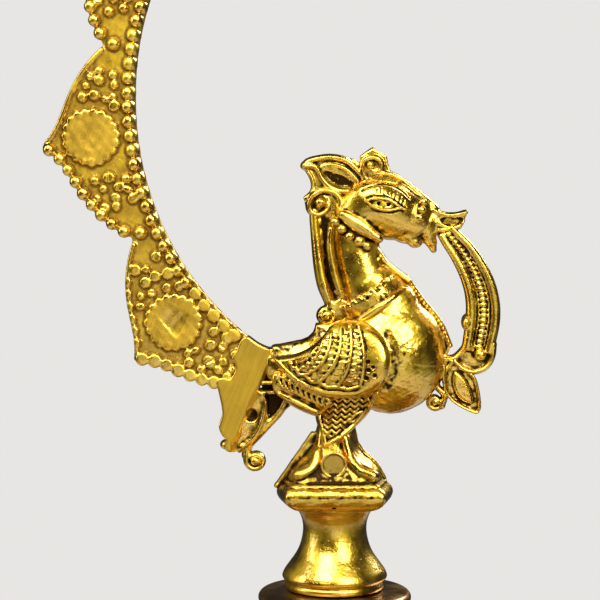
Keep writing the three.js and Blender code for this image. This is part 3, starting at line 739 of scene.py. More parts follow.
def tail_outline():
    angles = np.arange(TAIL_START, TAIL_END, 0.7)
    outer = [on_tail(a, rim_radius(a)) for a in angles]
    leaf = [on_tail(a, r) for a, r in TAIL_LEAF]
    inner = [on_tail(a, inner_radius(a)) for a in np.arange(86, TAIL_START, -1.5)]
    return np.array([*outer, *leaf, *inner])


MEDALLION_AT = 96.5  # radius of the medallions' middles
MEDALLION_R = 8.2
MEDALLION_FACE_R = 7.1
MEDALLION_RISE = 1.15
SPRAY_COUNT = 11  # foliage granules on each side of a medallion
ROOT_SPRAY_COUNT = 15  # crowded against the block at the tail's root
SPRAY_NEAR, SPRAY_FAR = 4.6, 12.4  # how far from the lobe's tip the granules lie, in degrees


def spray(random, tip, side, count, clear):
    """Seeded granules (place, size) beside a medallion, between the inner beads and the rim."""
    middle = on_tail(tip + 0.5, MEDALLION_AT)
    kept = []
    for _ in range(700):
        angle = tip + side * random.uniform(SPRAY_NEAR, SPRAY_FAR)
        size = random.uniform(1.15, 1.8)
        at = on_tail(angle, random.uniform(TAIL_IN + 5.2, rim_radius(angle) - clear))
        apart = all(np.hypot(*(at - other)) > 0.9 * (size + wide) for other, wide in kept)
        if len(kept) < count and apart and np.hypot(*(at - middle)) > MEDALLION_R + size:
            kept.append((at, size))
    return kept


def worn_patch(tip):
    """The part of the lowest medallion's face that was left rough."""
    middle = on_tail(tip + 0.5, MEDALLION_AT)
    turn = np.radians((160, 105, 25, 280))
    return middle + 4.8 * np.stack([np.cos(turn), np.sin(turn)], 1)


def medallion(relief, tip, random):
    """A round boss with a lobed edge, filed flat, near the middle of a lobe."""
    centre = on_tail(tip + 0.5, MEDALLION_AT)
    lobes = 19
    turn = np.linspace(0, 2 * math.pi, lobes, endpoint=False)
    for a in turn + random.uniform(0, 0.3):
        at = centre + 6.9 * np.array([math.cos(a), math.sin(a)])
        relief.bead(at, 1.4 + random.uniform(-0.12, 0.12), 0.1, 1.05 + random.uniform(0, 0.15))
    x, z = relief.x[:, None], relief.z[None, :]
    away = np.hypot(x - centre[0], z - centre[1])
    face = MEDALLION_RISE + 0.05 * np.sin(x * 1.9) * np.sin(z * 1.6)
    hollow = 0.22 * np.clip(1 - ((away - 0.5) / 3.6) ** 2, 0, 1)
    top = np.where(away < MEDALLION_FACE_R, face - hollow, 0)
    relief.filed = np.where(away < MEDALLION_FACE_R, 1.0, relief.filed)
    relief.height = np.maximum(relief.height, top)


def granule(relief, at, size, random, cut):
    turn = random.uniform(0, math.pi)
    relief.bead(at, size, 0.1, cut, random.uniform(1.0, 1.25), turn)
    nick = np.array([math.cos(turn + 1.5), math.sin(turn + 1.5)]) * size
    if random.random() < 0.3:
        relief.groove([at - nick, at + nick], 0.28, 0.45)


def tail_relief(relief):
    """Fills the relief, and gives the beads (x, z, radius) that stand out past the rim."""
    random = np.random.default_rng(7)
    overhang = []
    for n, tip in enumerate(LOBE_TIPS):
        above = [
            on_tail(tip + d, rim_radius(tip + d) - 0.75) for d in np.arange(0.6, LOBE_ABOVE - 0.6, 0.6)
        ]
        relief.ridge(smooth(above, 2), 0.85, 0.75, base=0.1)
        if n == 0:
            for at in spaced(above[2:17], 3.5):
                relief.bead(at, 1.3, 0.1, 0.9)
        medallion(relief, tip, random)
        worn = 1.15 if n == 0 else None
        above_spray = spray(random, tip, 1, SPRAY_COUNT, 2.4)
        below_spray = spray(random, tip, -1, ROOT_SPRAY_COUNT if n == 0 else SPRAY_COUNT, 3.4)
        for at, size in (*above_spray, *below_spray):
            granule(relief, at, size, random, 1.05 if n == 0 else random.uniform(1.0, 1.5))
        if n == 0:
            rough = relief.inside(worn_patch(tip)) < 0
            relief.filed = np.where(rough, 0.35, relief.filed)
            relief.height = relief.height - np.where(rough, 0.15, 0)
        flank = [
            on_tail(tip - d, rim_radius(tip - d) - 1.0) for d in np.arange(0.6, LOBE_BELOW - 1.6, 0.5)
        ]
        for at in spaced(flank, 3.66 if n == 0 else 3.9):
            size = (2.08 if n == 0 else 1.98) + random.uniform(-0.12, 0.08)
            relief.bead(at, size, 0.0, worn)
            overhang.append((*at, size - 0.1))
        relief.bead(on_tail(tip + LOBE_ABOVE + 0.4, TAIL_NOTCH - 2.6), 1.95)
    row = [on_tail(a, inner_radius(a) + 1.95) for a in np.arange(TAIL_START + 8, TAIL_END + 1, 1.0)]
    for k, at in enumerate(spaced(row, 3.96)):
        worn = 1.12 if k < 5 else None
        relief.bead(at + random.uniform(-0.12, 0.12, 2), 2.02 + random.uniform(-0.1, 0.08), 0.0, worn)
        if worn:
            relief.mark_filed(at, 1.5)
    leaf = smooth([on_tail(a, r) for a, r in ((80, 92), (88, 92.2), (94, 90), (99, 87.2))])
    relief.ridge(leaf, [0.9, 1.1, 0.9, 0.4], 0.9)
    edge = smooth([on_tail(a, r - 0.9) for a, r in ((82, 94), *TAIL_LEAF[:4])])
    relief.ridge(edge, 0.7, 0.6)
    return overhang


def build_tail(look):
    clay = Clay((-86, 40), (54, 252), 4.6, 0.36)
    relief = clay.relief()
    overhang = tail_relief(relief)
    inside = relief.inside(tail_outline())
    for x, z, size in overhang:
        inside = smooth_min(inside, np.hypot(relief.x[:, None] - x, relief.z[None, :] - z) - size, 0.3)
    across, up = TAIL_X - relief.x[:, None], relief.z[None, :] - TAIL_Z
    from_edge = np.hypot(across, up) - inner_radius(np.degrees(np.arctan2(up, across)))
    bevel = 0.6 * np.clip(1 - from_edge / 1.3, 0, 1)
    ground = relief.height < 0.2
    relief.filed = np.where(ground, GROUND_MATT, relief.filed)
    # Painted shade on the ground between the beads and granules
    relief.painted_shade = np.where(ground, GROUND_SHADE, relief.painted_shade)
    clay.field = clay.plate(inside, 1.95 - bevel + relief.height, 0.6).astype(np.float32)
    cast_piece("tail_crescent_cast", clay, look, ["tail_crescent"], marks=relief)


def build_tail_block(look):
    """The block at the tail's root, filed flat on its sides, chamfered towards the bird, with one pit."""
    clay = Clay((-37, 34), (-8, 76), 6, 0.28)
    relief = clay.relief()
    outline = [
        (-24.5, 70.9), (-26.1, 70.1), (-26.9, 68.7), (-27.5, 67), (-28.8, 64.9), (-28, 63.2),
        (-28, 61.1), (-29.4, 59), (-31, 59.5), (-33.2, 58.6), (-32.7, 55.9), (-31.5, 49.6),
        (-32.5, 45.8), (-31.7, 43.1), (-30.5, 41.9), (-31.2, 40.5), (-30.5, 38.8), (-27.9, 38.4),
        (-26.2, 40.5), (-25.8, 46.5), (-21.6, 49.6), (-21, 53.1), (-21.3, 55.9), (-18.5, 61.4),
        (-16.1, 67.3), (-18.5, 67.5), (-21.6, 68.9),
    ]
    inside = relief.inside(smooth(outline, 3, closed=True))
    face = smooth([(-17.5, 67.5), (-20.6, 59.7), (-24.1, 52.7), (-26.8, 45.4), (-29.3, 40.9)], 4)
    x, z = relief.x[:, None], relief.z[None, :]
    past = (x - np.interp(z, face[::-1, 1], face[::-1, 0])) * 0.9
    chamfer = np.clip(past, 0, 1.7) * 0.8 + np.clip(past - 1.7, 0, 0.8) * 1.2
    edge = np.where((inside < -0.3) & (past < 1.5), 0.6, 0.0)
    relief.filed = np.where((inside < -0.5) & (past < 0.1), 1.0, edge)
    relief.pit((-23.4, 49.2), 1.5, 0.7)
    clay.field = clay.plate(inside, 3.55 + relief.height - chamfer, 0.4).astype(np.float32)
    cast_piece("tail_block_filed", clay, look, ["tail_block"], marks=relief)


def build_rump_scroll(look):
    """The stem under the rump: a web with one hollow, an arched edge, and a scroll at its foot."""
    clay = Clay((-34, 28), (-6, 66), 4.8, 0.28)
    relief = clay.relief()
    web = smooth([
        (-20.5, 55.7), (-19.5, 51.1), (-18.5, 46.5), (-21.7, 42.6), (-24.3, 40), (-26.8, 37.9),
        (-28.2, 40.2), (-27.2, 45.4), (-24.4, 51.6), (-21.6, 54.5)
    ], 3, closed=True)
    relief.pit((-23.4, 48.7), 1.9, 1.3)
    # Painted shade in the hollow
    relief.paint_shade_line([(-23.4, 48.9), (-23.4, 48.6)], 1.9, 0.16)
    clay.add(clay.plate(relief.inside(web), 2.2 + relief.height, 0.8), 0.4)
    stem = smooth([(-11.5, 57), (-15.2, 50.1), (-18.5, 46.3), (-21.7, 42.8), (-24.1, 40.2), (-25, 37.2)])
    clay.rod(stem, 1.25, 1.9, 0.5)
    arch = smooth([(-21, 54.9), (-19.6, 52.9), (-19.9, 49.1), (-20.9, 45.6), (-23, 42.3), (-26.2, 39.5)])
    clay.rod(arch, 1.05, 2.7, 0.5)
    centre = (-22.3, 35.8)
    ring = spiral(centre, 2.6, 1.5, 165, 0.95)
    clay.rod(ring, 0.95, 2.6, 0.4)
    clay.add(clay.egg((centre[0], 1.4, centre[1]), (1.5, 1.9, 1.5)), 0.15)
    clay.add(clay.chain([(*centre, 2.4), (centre[0] + 0.1, centre[1], 2.4)], 0.5), 0.4)
    for left, right in (((-21.3, 55.1), (-17.2, 55.1)), ((-20.4, 57.9), (-17.2, 57.9))):
        clay.add(clay.chain([(*left, 1.0), (*right, 1.0)], 2.8), 0.5)
    knob = (-30.1, 40.2)
    clay.add(clay.egg((knob[0], 0, knob[1]), (2.2, 2.6, 1.6)), 0.6)
    neck = [(-20.4, 61.4), (-15.2, 61.4), (-12.5, 55.9), (-12.5, 51), (-17.2, 47.9), (-20.3, 50.3)]
    # Painted shade over the stem's neck
    relief.paint_shade(neck, 0.2)
    clay.add(clay.plate(relief.inside(neck), 1.0, 0.4), 0.5)
    cast_piece("rump_scroll_cast", clay, look, ["rump_scroll"], marks=relief)


# ---- The garland ----

GARLAND = (
    (30.6, 100.6, 2.6), (32.6, 98, 3.1), (35.8, 94, 3.7), (39, 88.4, 4.2), (41, 82.4, 4.6),
    (41.4, 75.6, 4.8), (39.9, 66.4, 4.4),
)


def side_lines(line, share):
    """The line moved sideways by a share of its own half width, which is its third coordinate."""
    line = np.array(line)
    d = np.gradient(line[:, :2], axis=0)
    d /= np.hypot(*d.T)[:, None]
    normal = np.stack([-d[:, 1], d[:, 0]], 1)
    return line[:, :2] + normal * (line[:, 2:] * share)


def build_garland(look):
    clay = Clay((22, 58), (54, 108), 6.5, 0.28)
    relief = clay.relief()
    spine = smooth(GARLAND, 8)
    band = clay.relief()
    for share in (-0.70, 0.70):
        band.ridge(side_lines(spine, share), 1.5, 1.1, round_top=0.7)
    beads = spaced(spine, 1.5)
    for x, z, _ in beads[1:-1]:
        band.bead((x, z), 0.88, 0.25, stretch=1.2)
    for share in (-0.30, 0.30):
        band.ridge(side_lines(spine, share), 0.35, 0.55)
    outline = np.vstack([side_lines(spine, 1.0), side_lines(spine, -1.0)[::-1]])
    clay.add(clay.plate(relief.inside(outline), 1.7 + band.height, 0.9))
    knot = [(33.4, 63.9), (36.3, 61.4), (39.5, 61), (42.4, 62.4), (44.1, 68.6), (43.8, 72.9), (38, 72.9),
        (35.9, 67.2)]
    clay.add(clay.plate(relief.inside(knot), 1.5, 0.6), 0.4)
    for x, z, wide, tall in ((40.7, 65.8, 1.9, 1.9), (36.6, 74.7, 1.2, 2.2)):
        clay.add(clay.egg((x, 1.0, z), (wide, 2.7, tall)), 0.3)
    curl = smooth([(33.5, 63.8), (36.3, 61.5), (39.5, 61), (42.4, 62.4), (44, 65.2), (44.4, 68.6)])
    clay.rod(curl, 1.0, 2.8, 0.3)
    twig = smooth([(30.4, 64.5), (33.5, 64.8), (36, 67.2), (37.7, 69.7), (38.1, 71.9)])
    clay.rod(twig, 0.95, 2.6, 0.3)
    cast_piece("garland_cast", clay, look, ["garland"])


def build_bud(look):
    clay = Clay((24, 46), (46, 70), 5, 0.26)
    relief = clay.relief()
    outline = smooth([
        (30.7, 64.3), (30.2, 57.6), (32.6, 52.6), (38.8, 49.2), (40.6, 49.8), (40.9, 52.8),
        (39.7, 58.6), (37.7, 61), (33.9, 63.8)
    ], 4, closed=True)
    top = clay.relief()
    rim = np.vstack([outline, outline[:1]])
    top.ridge(rim, 1.0, 1.0)
    panel = smooth([(33.5, 61), (33, 57.1), (34.9, 53.3), (38.3, 51.9), (38.5, 54.3), (36.3, 59)], 4,
        closed=True)
    top.panel(panel, 0.9, 1.0)
    clay.add(clay.plate(relief.inside(outline), 1.5 + top.height, 0.6))
    stem = smooth([(32.5, 63.3), (28.5, 57.6), (30.7, 54.3), (30, 51.1)])
    clay.rod(stem, 1.0, 2.2, 0.3)
    curl = spiral((28, 52.3), 2.0, 1.0, -40, -0.9)
    clay.rod(curl, 0.85, 2.4, 0.3)
    ball = (28.1, 52.4)
    clay.add(clay.egg((ball[0], 0, ball[1]), (1.3, 2.3, 1.3)), 0.2)
    cast_piece("garland_bud_cast", clay, look, ["garland_bud"])


def build_breast_web(look):
    clay = Clay((14, 60), (38, 92), 3, 0.26)
    relief = clay.relief()
    edge = smooth([(20.1, 87.6), (24.4, 81.4), (29.6, 74.8), (32.5, 68.1)])
    inside = relief.inside([*edge, (31, 64), (22, 70), (16, 84)])
    top = clay.relief()
    top.ridge(edge, 0.4, 0.3)
    for at in spaced(edge, 1.3):
        top.bead(at, 0.55, 0.1)
    clay.add(clay.plate(inside, 0.8 + top.height, 0.4))
    clay.rod(edge, 0.55, 1.6, 0.3)
    # Painted shade on the web, where the breast is in shade
    top.paint_shade([*(np.array(edge) - (0.7, 0.3)), (31, 64), (22, 70), (16, 84)], 0.3, 0.6)
    cast_piece("breast_web_cast", clay, look, ["breast_web"], marks=top)


# ---- The bird's body ----

def trunk_form(clay):
    """Distance to the breast, the back, the root of the neck and the leg."""
    found = clay.egg((15.6, 0, 65.7), (15.5, 12.6, 16.7))
    found = smooth_min(found, clay.chain([(-18, 62.4, 4.2), (-9, 61.6, 7.4), (0, 62.4, 10.4),
        (12, 66, 14)], 0.86), 1.5)
    found = smooth_min(found, clay.chain([(14.2, 79, 9.2), (10.4, 84.5, 7.8)], 0.9), 2.0)
    return smooth_min(found, clay.chain([(2.4, 56, 7.2), (-0.2, 48, 4.5), (-0.4, 43.4, 4.1)], 1.0), 1.5)


def build_trunk(look):
    clay = Clay((-23, 39), (35, 94), 15, 0.3)
    clay.add(trunk_form(clay), BASE_BLEND)
    keel = clay.relief().inside([
        (-5.4, 74.4), (-5.8, 71.7), (-7, 70), (-9.7, 69), (-17.4, 68.2), (-18.8, 64.7), (-15.6, 61.8),
        (-6.4, 63.2), (1.6, 68.4), (1.6, 74.6)
    ])
    clay.add(clay.plate(keel, 3.0, 1.5), 3.0)
    clay.wobble(11, 0.07)
    clay.wobble(3.4, 0.045)
    top = clay.relief()
    beside_wing = lobe(wing_middle(), np.add(WING_LOBE, 1.4), 35, -39)
    top.groove(beside_wing, 1.2, 0.15)
    # Painted shade beside the wing, in small patches on the breast, and over the top of the back, where it
    # dims a highlight
    top.paint_shade_line(beside_wing, 2.6, 0.085)
    for at, size in (((17.6, 69.2), 0.9), ((18.2, 66.7), 0.7), ((17.3, 63.5), 1.1), ((16.4, 60.6), 0.8)):
        top.paint_shade_line([at, at + np.array([0.5, 0.6])], size * 1.5, 0.11)
    top.paint_shade([(-18.8, 69.8), (-3.5, 76.1), (-0.7, 72.1), (-7.2, 68.1), (-13.7, 65.6), (-18.8, 63.8)],
        0.15, 2.0)
    clay.emboss(top)
    clay.keep(-clay.x - 19, 0.2)
    cast_piece("bird_trunk_cast", clay, look, ["bird_trunk"], marks=top)


# The wing: a round lobe in front, drawn out behind into a tip that points back and up.
WING_LOBE = (10.6, 11.2)  # half width, half height
WING_TIP_BACK = 22.2  # from the lobe's middle
WING_TIP_UP = 1.0
WING_HANG = 0.9  # the rolled rim hangs this far below the CAD wing
WING_RIM_INSET = (3.5, 1.2)  # the rim's middle line inside the outline, in front and below
RIB_COUNT = 6


def bow(start, end, sag, count=24):
    """A shallow curve from start to end that bulges by sag to the left of its direction."""
    start = np.array(start, float)
    along = np.array(end, float) - start
    aside = np.array([-along[1], along[0]]) / np.hypot(*along)
    t = np.linspace(0, 1, count)[:, None]
    return start + along * t + 4 * sag * t * (1 - t) * aside


def lobe(centre, radii, first, last, count=24):
    """A stretch of an ellipse between two angles, in degrees above +x."""
    turn = np.radians(np.linspace(first, last, count))
    return np.stack([centre[0] + radii[0] * np.cos(turn), centre[1] + radii[1] * np.sin(turn)], 1)


def wing_middle():
    """The middle of the wing's round lobe, set against the front and the foot of the CAD wing."""
    low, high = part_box("wing_near")
    return np.array([high.x / MM - WING_LOBE[0], low.z / MM - FINIAL_Z - WING_HANG + WING_LOBE[1]])


def wing_outline():
    middle = wing_middle()
    tip = middle + (-WING_TIP_BACK, WING_TIP_UP)
    front = lobe(middle, WING_LOBE, -100, 125)
    return np.vstack([bow(tip, front[0], -3.4)[:-1], front, bow(front[-1], tip, 2.6)[1:-1]])


def wing_rim():
    middle = wing_middle()
    tip = middle + (0.5 - WING_TIP_BACK, WING_TIP_UP - 0.4)
    front = lobe(middle, np.subtract(WING_LOBE, WING_RIM_INSET), -100, 46)
    return spaced(np.vstack([bow(tip, front[0], -3.2)[:-1], front]), 0.8)


def wing_ribs():
    """The ribs fan out from the shoulder to the lower rim, closer together towards the tip."""
    middle = wing_middle()
    shoulder = bow(middle + (1.8, 10.2), middle + (-10.3, 3.6), -1.6, 100)
    hem = bow(middle + (2.3, -7.1), middle + (-16.8, -0.8), 2.4, 100)
    ribs = []
    for share in np.linspace(0, 1, RIB_COUNT):
        start = shoulder[int(99 * share**1.15)]
        end = hem[int(99 * (1 - (1 - share) ** 1.6))]
        ribs.append(bow(start, end, 1.2 + 0.9 * np.sin(np.pi * share)))
    return ribs


def between(a, b, share):
    """A line that lies a share of the way from one line to another of as many points."""
    return a * (1 - share) + b * share


def wing_relief(top):
    ribs = wing_ribs()
    for rib in ribs:
        top.ridge(rib, [0.3, 0.42, 0.5, 0.45], 0.5)
    for a, b in zip(ribs, ribs[1:]):
        for share in (0.3, 0.68):
            column = spaced(between(a, b, share)[1:], 1.72) - (0, 0.8 * (share > 0.5))
            for k, at in enumerate(column[:-1]):
                grown = k / max(len(column) - 1, 1)
                top.ridge([at + (-0.6, -0.8), at + (0.6, -0.8)], 0.32, 0.22)
                top.pit(at, 0.36 + 0.48 * grown, 0.45 + 0.6 * grown)
        tip = between(a, b, 0.5)[-1]
        top.pit(tip + (0.1, 0.5), 0.9, 1.1)
        top.ridge([a[-1], tip + (-0.2, -0.9), b[-1]], 0.5, 0.5)
    top.ridge(wing_rim(), [0.9, 1.3, 1.4, 1.5, 1.6, 1.9, 2.7, 3.0, 2.0], 0.75, round_top=1.0)
    for at in ((8.9, 65.1), (9.1, 62.7), (8.5, 60.4), (10.2, 63.6), (10.7, 61.3)):
        top.pit(at, 0.68, 0.6)


def build_wings(look):
    clay = Clay((-22, 50), (20, 80), 18, 0.25)
    body = smooth_min(trunk_form(clay), clay.egg((0.5, 0, 66.5), (19, 13.6, 14.2)), 1.0)
    top = clay.relief()
    wing_relief(top)
    height = 0.5 + 1.7 * np.clip((76 - top.z[None, :]) / 11, 0, 1)
    clay.cover(body, top, top.inside(wing_outline()), height, 1.5, 0.5, 1.6, 1.5, 0.05)
    cast_pair("wing", clay, look)


def build_fringes(look):
    """The hatched band that shows under the wing, with a rolled lower edge."""
    clay = Clay((-20, 46), (4, 68), 15, 0.25)
    body = smooth_min(trunk_form(clay), clay.chain([(-20, 60, 6.6), (-9, 58, 8.8), (-1, 55.5, 8.8)],
        0.98), 1.0)
    top = clay.relief()
    outline = smooth([
        (-17.3, 61.2), (-17.1, 56.1), (-14, 53.2), (-10.1, 50.7), (-5.4, 48.7), (-3.2, 50.1),
        (-0.7, 53.7), (-5.4, 57), (-11.9, 61.2)
    ], 4, closed=True)
    top.ridge(
        smooth([(-15.5, 55.2), (-11.9, 53.1), (-8.3, 51.2), (-5.4, 50.2)]), [1.0, 1.4, 1.4, 1.0], 1.1
    )
    for share in np.linspace(0, 1, 9):
        start = np.array((-15.8, 59.4)) * (1 - share) + np.array((-3.6, 53.4)) * share
        top.ridge([start + (0.5, 1.9), start + (-0.1, 0.2), start + (0.7, -1.5)], 0.42, 0.6)
        top.pit(start + (1.0, 0.3), 0.36, 0.4)
    for drop in (1.0, 3.4):
        top.ridge(
            [np.array((-15.8, 59)) + (0, 2.6 - drop), np.array((-3.6, 53)) + (0, 2.6 - drop)], 0.4, 0.45
        )
    clay.cover(body, top, top.inside(outline), 1.2, 1.0, 0.4, 1.4)
    cast_pair("fringe", clay, look)


def build_thighs(look):
    """The cloth over the thigh: rows of zigzags inside a rolled border."""
    clay = Clay((-7, 37), (17, 63), 14, 0.22)
    body = smooth_min(trunk_form(clay), clay.chain([(6.5, 58, 7.6), (1.0, 48.4, 5.6), (-0.4, 40, 5.6)],
        1.0), 0.6)
    top = clay.relief()
    outline = smooth([
        (-1.3, 54.3), (-4, 50.3), (-5.9, 48.7), (-4.6, 44.9), (-3.6, 40.5), (-2.5, 40.1), (1.1, 42.1),
        (4.7, 44.7), (7.9, 47.7), (9.7, 50), (10.7, 53.3), (12.3, 56.7), (6.4, 55.8), (2.1, 54.9),
    ], 3, closed=True)
    right = smooth([(11.6, 56.7), (10.2, 53.3), (8.8, 50.2), (6.8, 47.5), (4.3, 45.2), (0.7, 42.7),
        (-3.2, 40.5)])
    top.ridge(right, [0.6, 1.0, 1.2, 1.0, 0.7], 1.0)
    top.ridge(smooth([(-0.7, 54.1), (-2.3, 51.7), (-4.5, 49.4), (-3.6, 45.2), (-2.7, 41.2)]), 0.42, 0.5)
    for row in range(7):
        z = 53.6 - 1.5 * row
        left, far = -2.6 - 0.12 * row, 10.4 - 1.45 * row
        line = [(x, z + 0.55 * (-1) ** k) for k, x in enumerate(np.arange(left, far, 1.15))]
        if len(line) > 1:
            top.ridge(line, 0.36, 0.5)
            for at in line[::2]:
                top.pit((at[0], at[1] - 1.25), 0.4, 0.45)
    top.ridge(smooth([(7.5, 50.2), (5.6, 49.3), (3.9, 47.3), (5.6, 47.7), (7.5, 49.9)]), 0.4, 0.5)
    clay.cover(body, top, top.inside(outline), 0.9, 0.8, 0.3, 1.2)
    cast_pair("thigh", clay, look)


# ---- The bird's foot ----

FOOT_LEVELS = (
    (11.2, 9.2, 10.0, 22.6), (13.6, 11.4, 11.6, 23.4), (15.4, 13.0, 12.6, 24.6),
    (16.3, 13.8, 13.1, 26.2), (16.4, 13.8, 13.1, 27.4), (16.0, 13.4, 12.7, 28.4),
    (15.4, 12.8, 12.1, 29.1), (14.8, 12.2, 11.5, 29.5), (14.6, 12.0, 11.2, 30.1),
    (13.9, 11.3, 10.4, 30.6), (13.6, 10.8, 10.1, 31.4), (12.5, 9.6, 9.0, 33.4), (11.2, 8.2, 8.1, 35.2),
    (9.8, 7.0, 7.4, 36.5), (8.0, 5.8, 6.6, 38), (6.0, 4.9, 5.6, 41), (5.0, 4.2, 4.9, 46),
)


def build_foot(look):
    """A flared hexagonal foot with a rounded plate, two shelf steps and curved ribs beside the rivet."""
    clay = Clay((-20, 21), (20, 48), 15, 0.25)
    levels = smooth(FOOT_LEVELS, 4)
    half, front, deep = (np.interp(clay.z, levels[:, 3], levels[:, k]) for k in range(3))
    slant = np.hypot(deep, half - front)
    side = ((np.abs(clay.x) - half) * deep + clay.y * (half - front)) / slant
    clay.add(smooth_max(clay.y - deep, side, 1.6), BASE_BLEND)
    clay.keep(np.maximum(levels[0, 3] - clay.z, clay.z - 45.8), 0.4)
    for rib, big in (
        (smooth([(-4.8, 39), (-5.3, 36.6), (-6.9, 34.4), (-10.3, 32.9)]), 1.25),
        (smooth([(2.8, 42.9), (3.4, 39.6), (4.6, 36.6), (6.8, 34.2), (10.6, 32.6)]), 1.45),
    ):
        depth = np.interp(rib[:, 1], levels[:, 3], levels[:, 2])
        line = spaced(rib, 0.5)
        for (x, z), y in zip(line, spread(depth, len(line))):
            grow = big * (0.75 + 0.4 * (44 - z) / 12)
            clay.add(clay.egg((x, y - 0.5, z), (grow, 1.9, grow)), 0.5)
    fin = clay.relief().inside([(-6.3, 43.5), (-16.7, 28.5), (-10.3, 28.3), (-2.6, 36.8), (-2.6, 45)])
    clay.add(clay.plate(fin, 1.1, 0.4), 0.5)
    clay.add(clay.chain([(-6.3, 43.4, 0.5), (-16.5, 28.5, 0.65)], 2.4), 0.2)
    corner = [(half - 0.1, z) for half, _, _, z in FOOT_LEVELS[9:]]
    clay.rod(corner, 0.7, 1.0, 0.4)
    clay.wobble(7, 0.05)
    marks = clay.relief()
    # Painted shade around and below the rivet, in a band across the foot, and in small dashes low on its
    # front
    marks.paint_shade([(-8.5, 29.8), (-7.5, 33.4), (-3.6, 35.4), (3.4, 35.0), (4.6, 32.6), (8.6, 31.4),
        (9, 29.8)], 0.15, 0.5)
    marks.paint_shade([(-11.4, 27.9), (12.9, 27.9), (12.9, 26.6), (-11.4, 26.6)], 0.2, 0.5)
    for at in ((-4.1, 23.4), (-1.8, 22.3), (1.1, 22.9), (3, 21.9), (-0.7, 24), (-2.4, 21.2)):
        marks.paint_shade_line([at, at + np.array([0.7, 0.1])], 0.5, 0.25)
    cast_piece("bird_foot_cast", clay, look, ["bird_foot"], marks=marks)


def build_rivet(look):
    """The cross rivet with its round, flat-filed heads in a thin raised rim."""
    clay = Clay((-6, 30), (6, 42), 10.5, 0.2)
    at = (-0.4, 35.7)
    away = np.sqrt((clay.x - at[0]) ** 2 + (clay.z - at[1]) ** 2)
    clay.add(smooth_max(away - 3.5, clay.y - 9.0, 0.5), BASE_BLEND)
    rim = np.sqrt((away - 3.35) ** 2 + (clay.y - 9.05) ** 2) - 0.42
    clay.add(rim, 0.15)
    filed = clay.relief()
    filed.filed = np.where(away[:, 0, :] < 2.9, 0.7, 0.0)
    cast_piece("foot_rivet_filed", clay, look, ["foot_rivet"], marks=filed)


# ---- Neck, head and crest ----

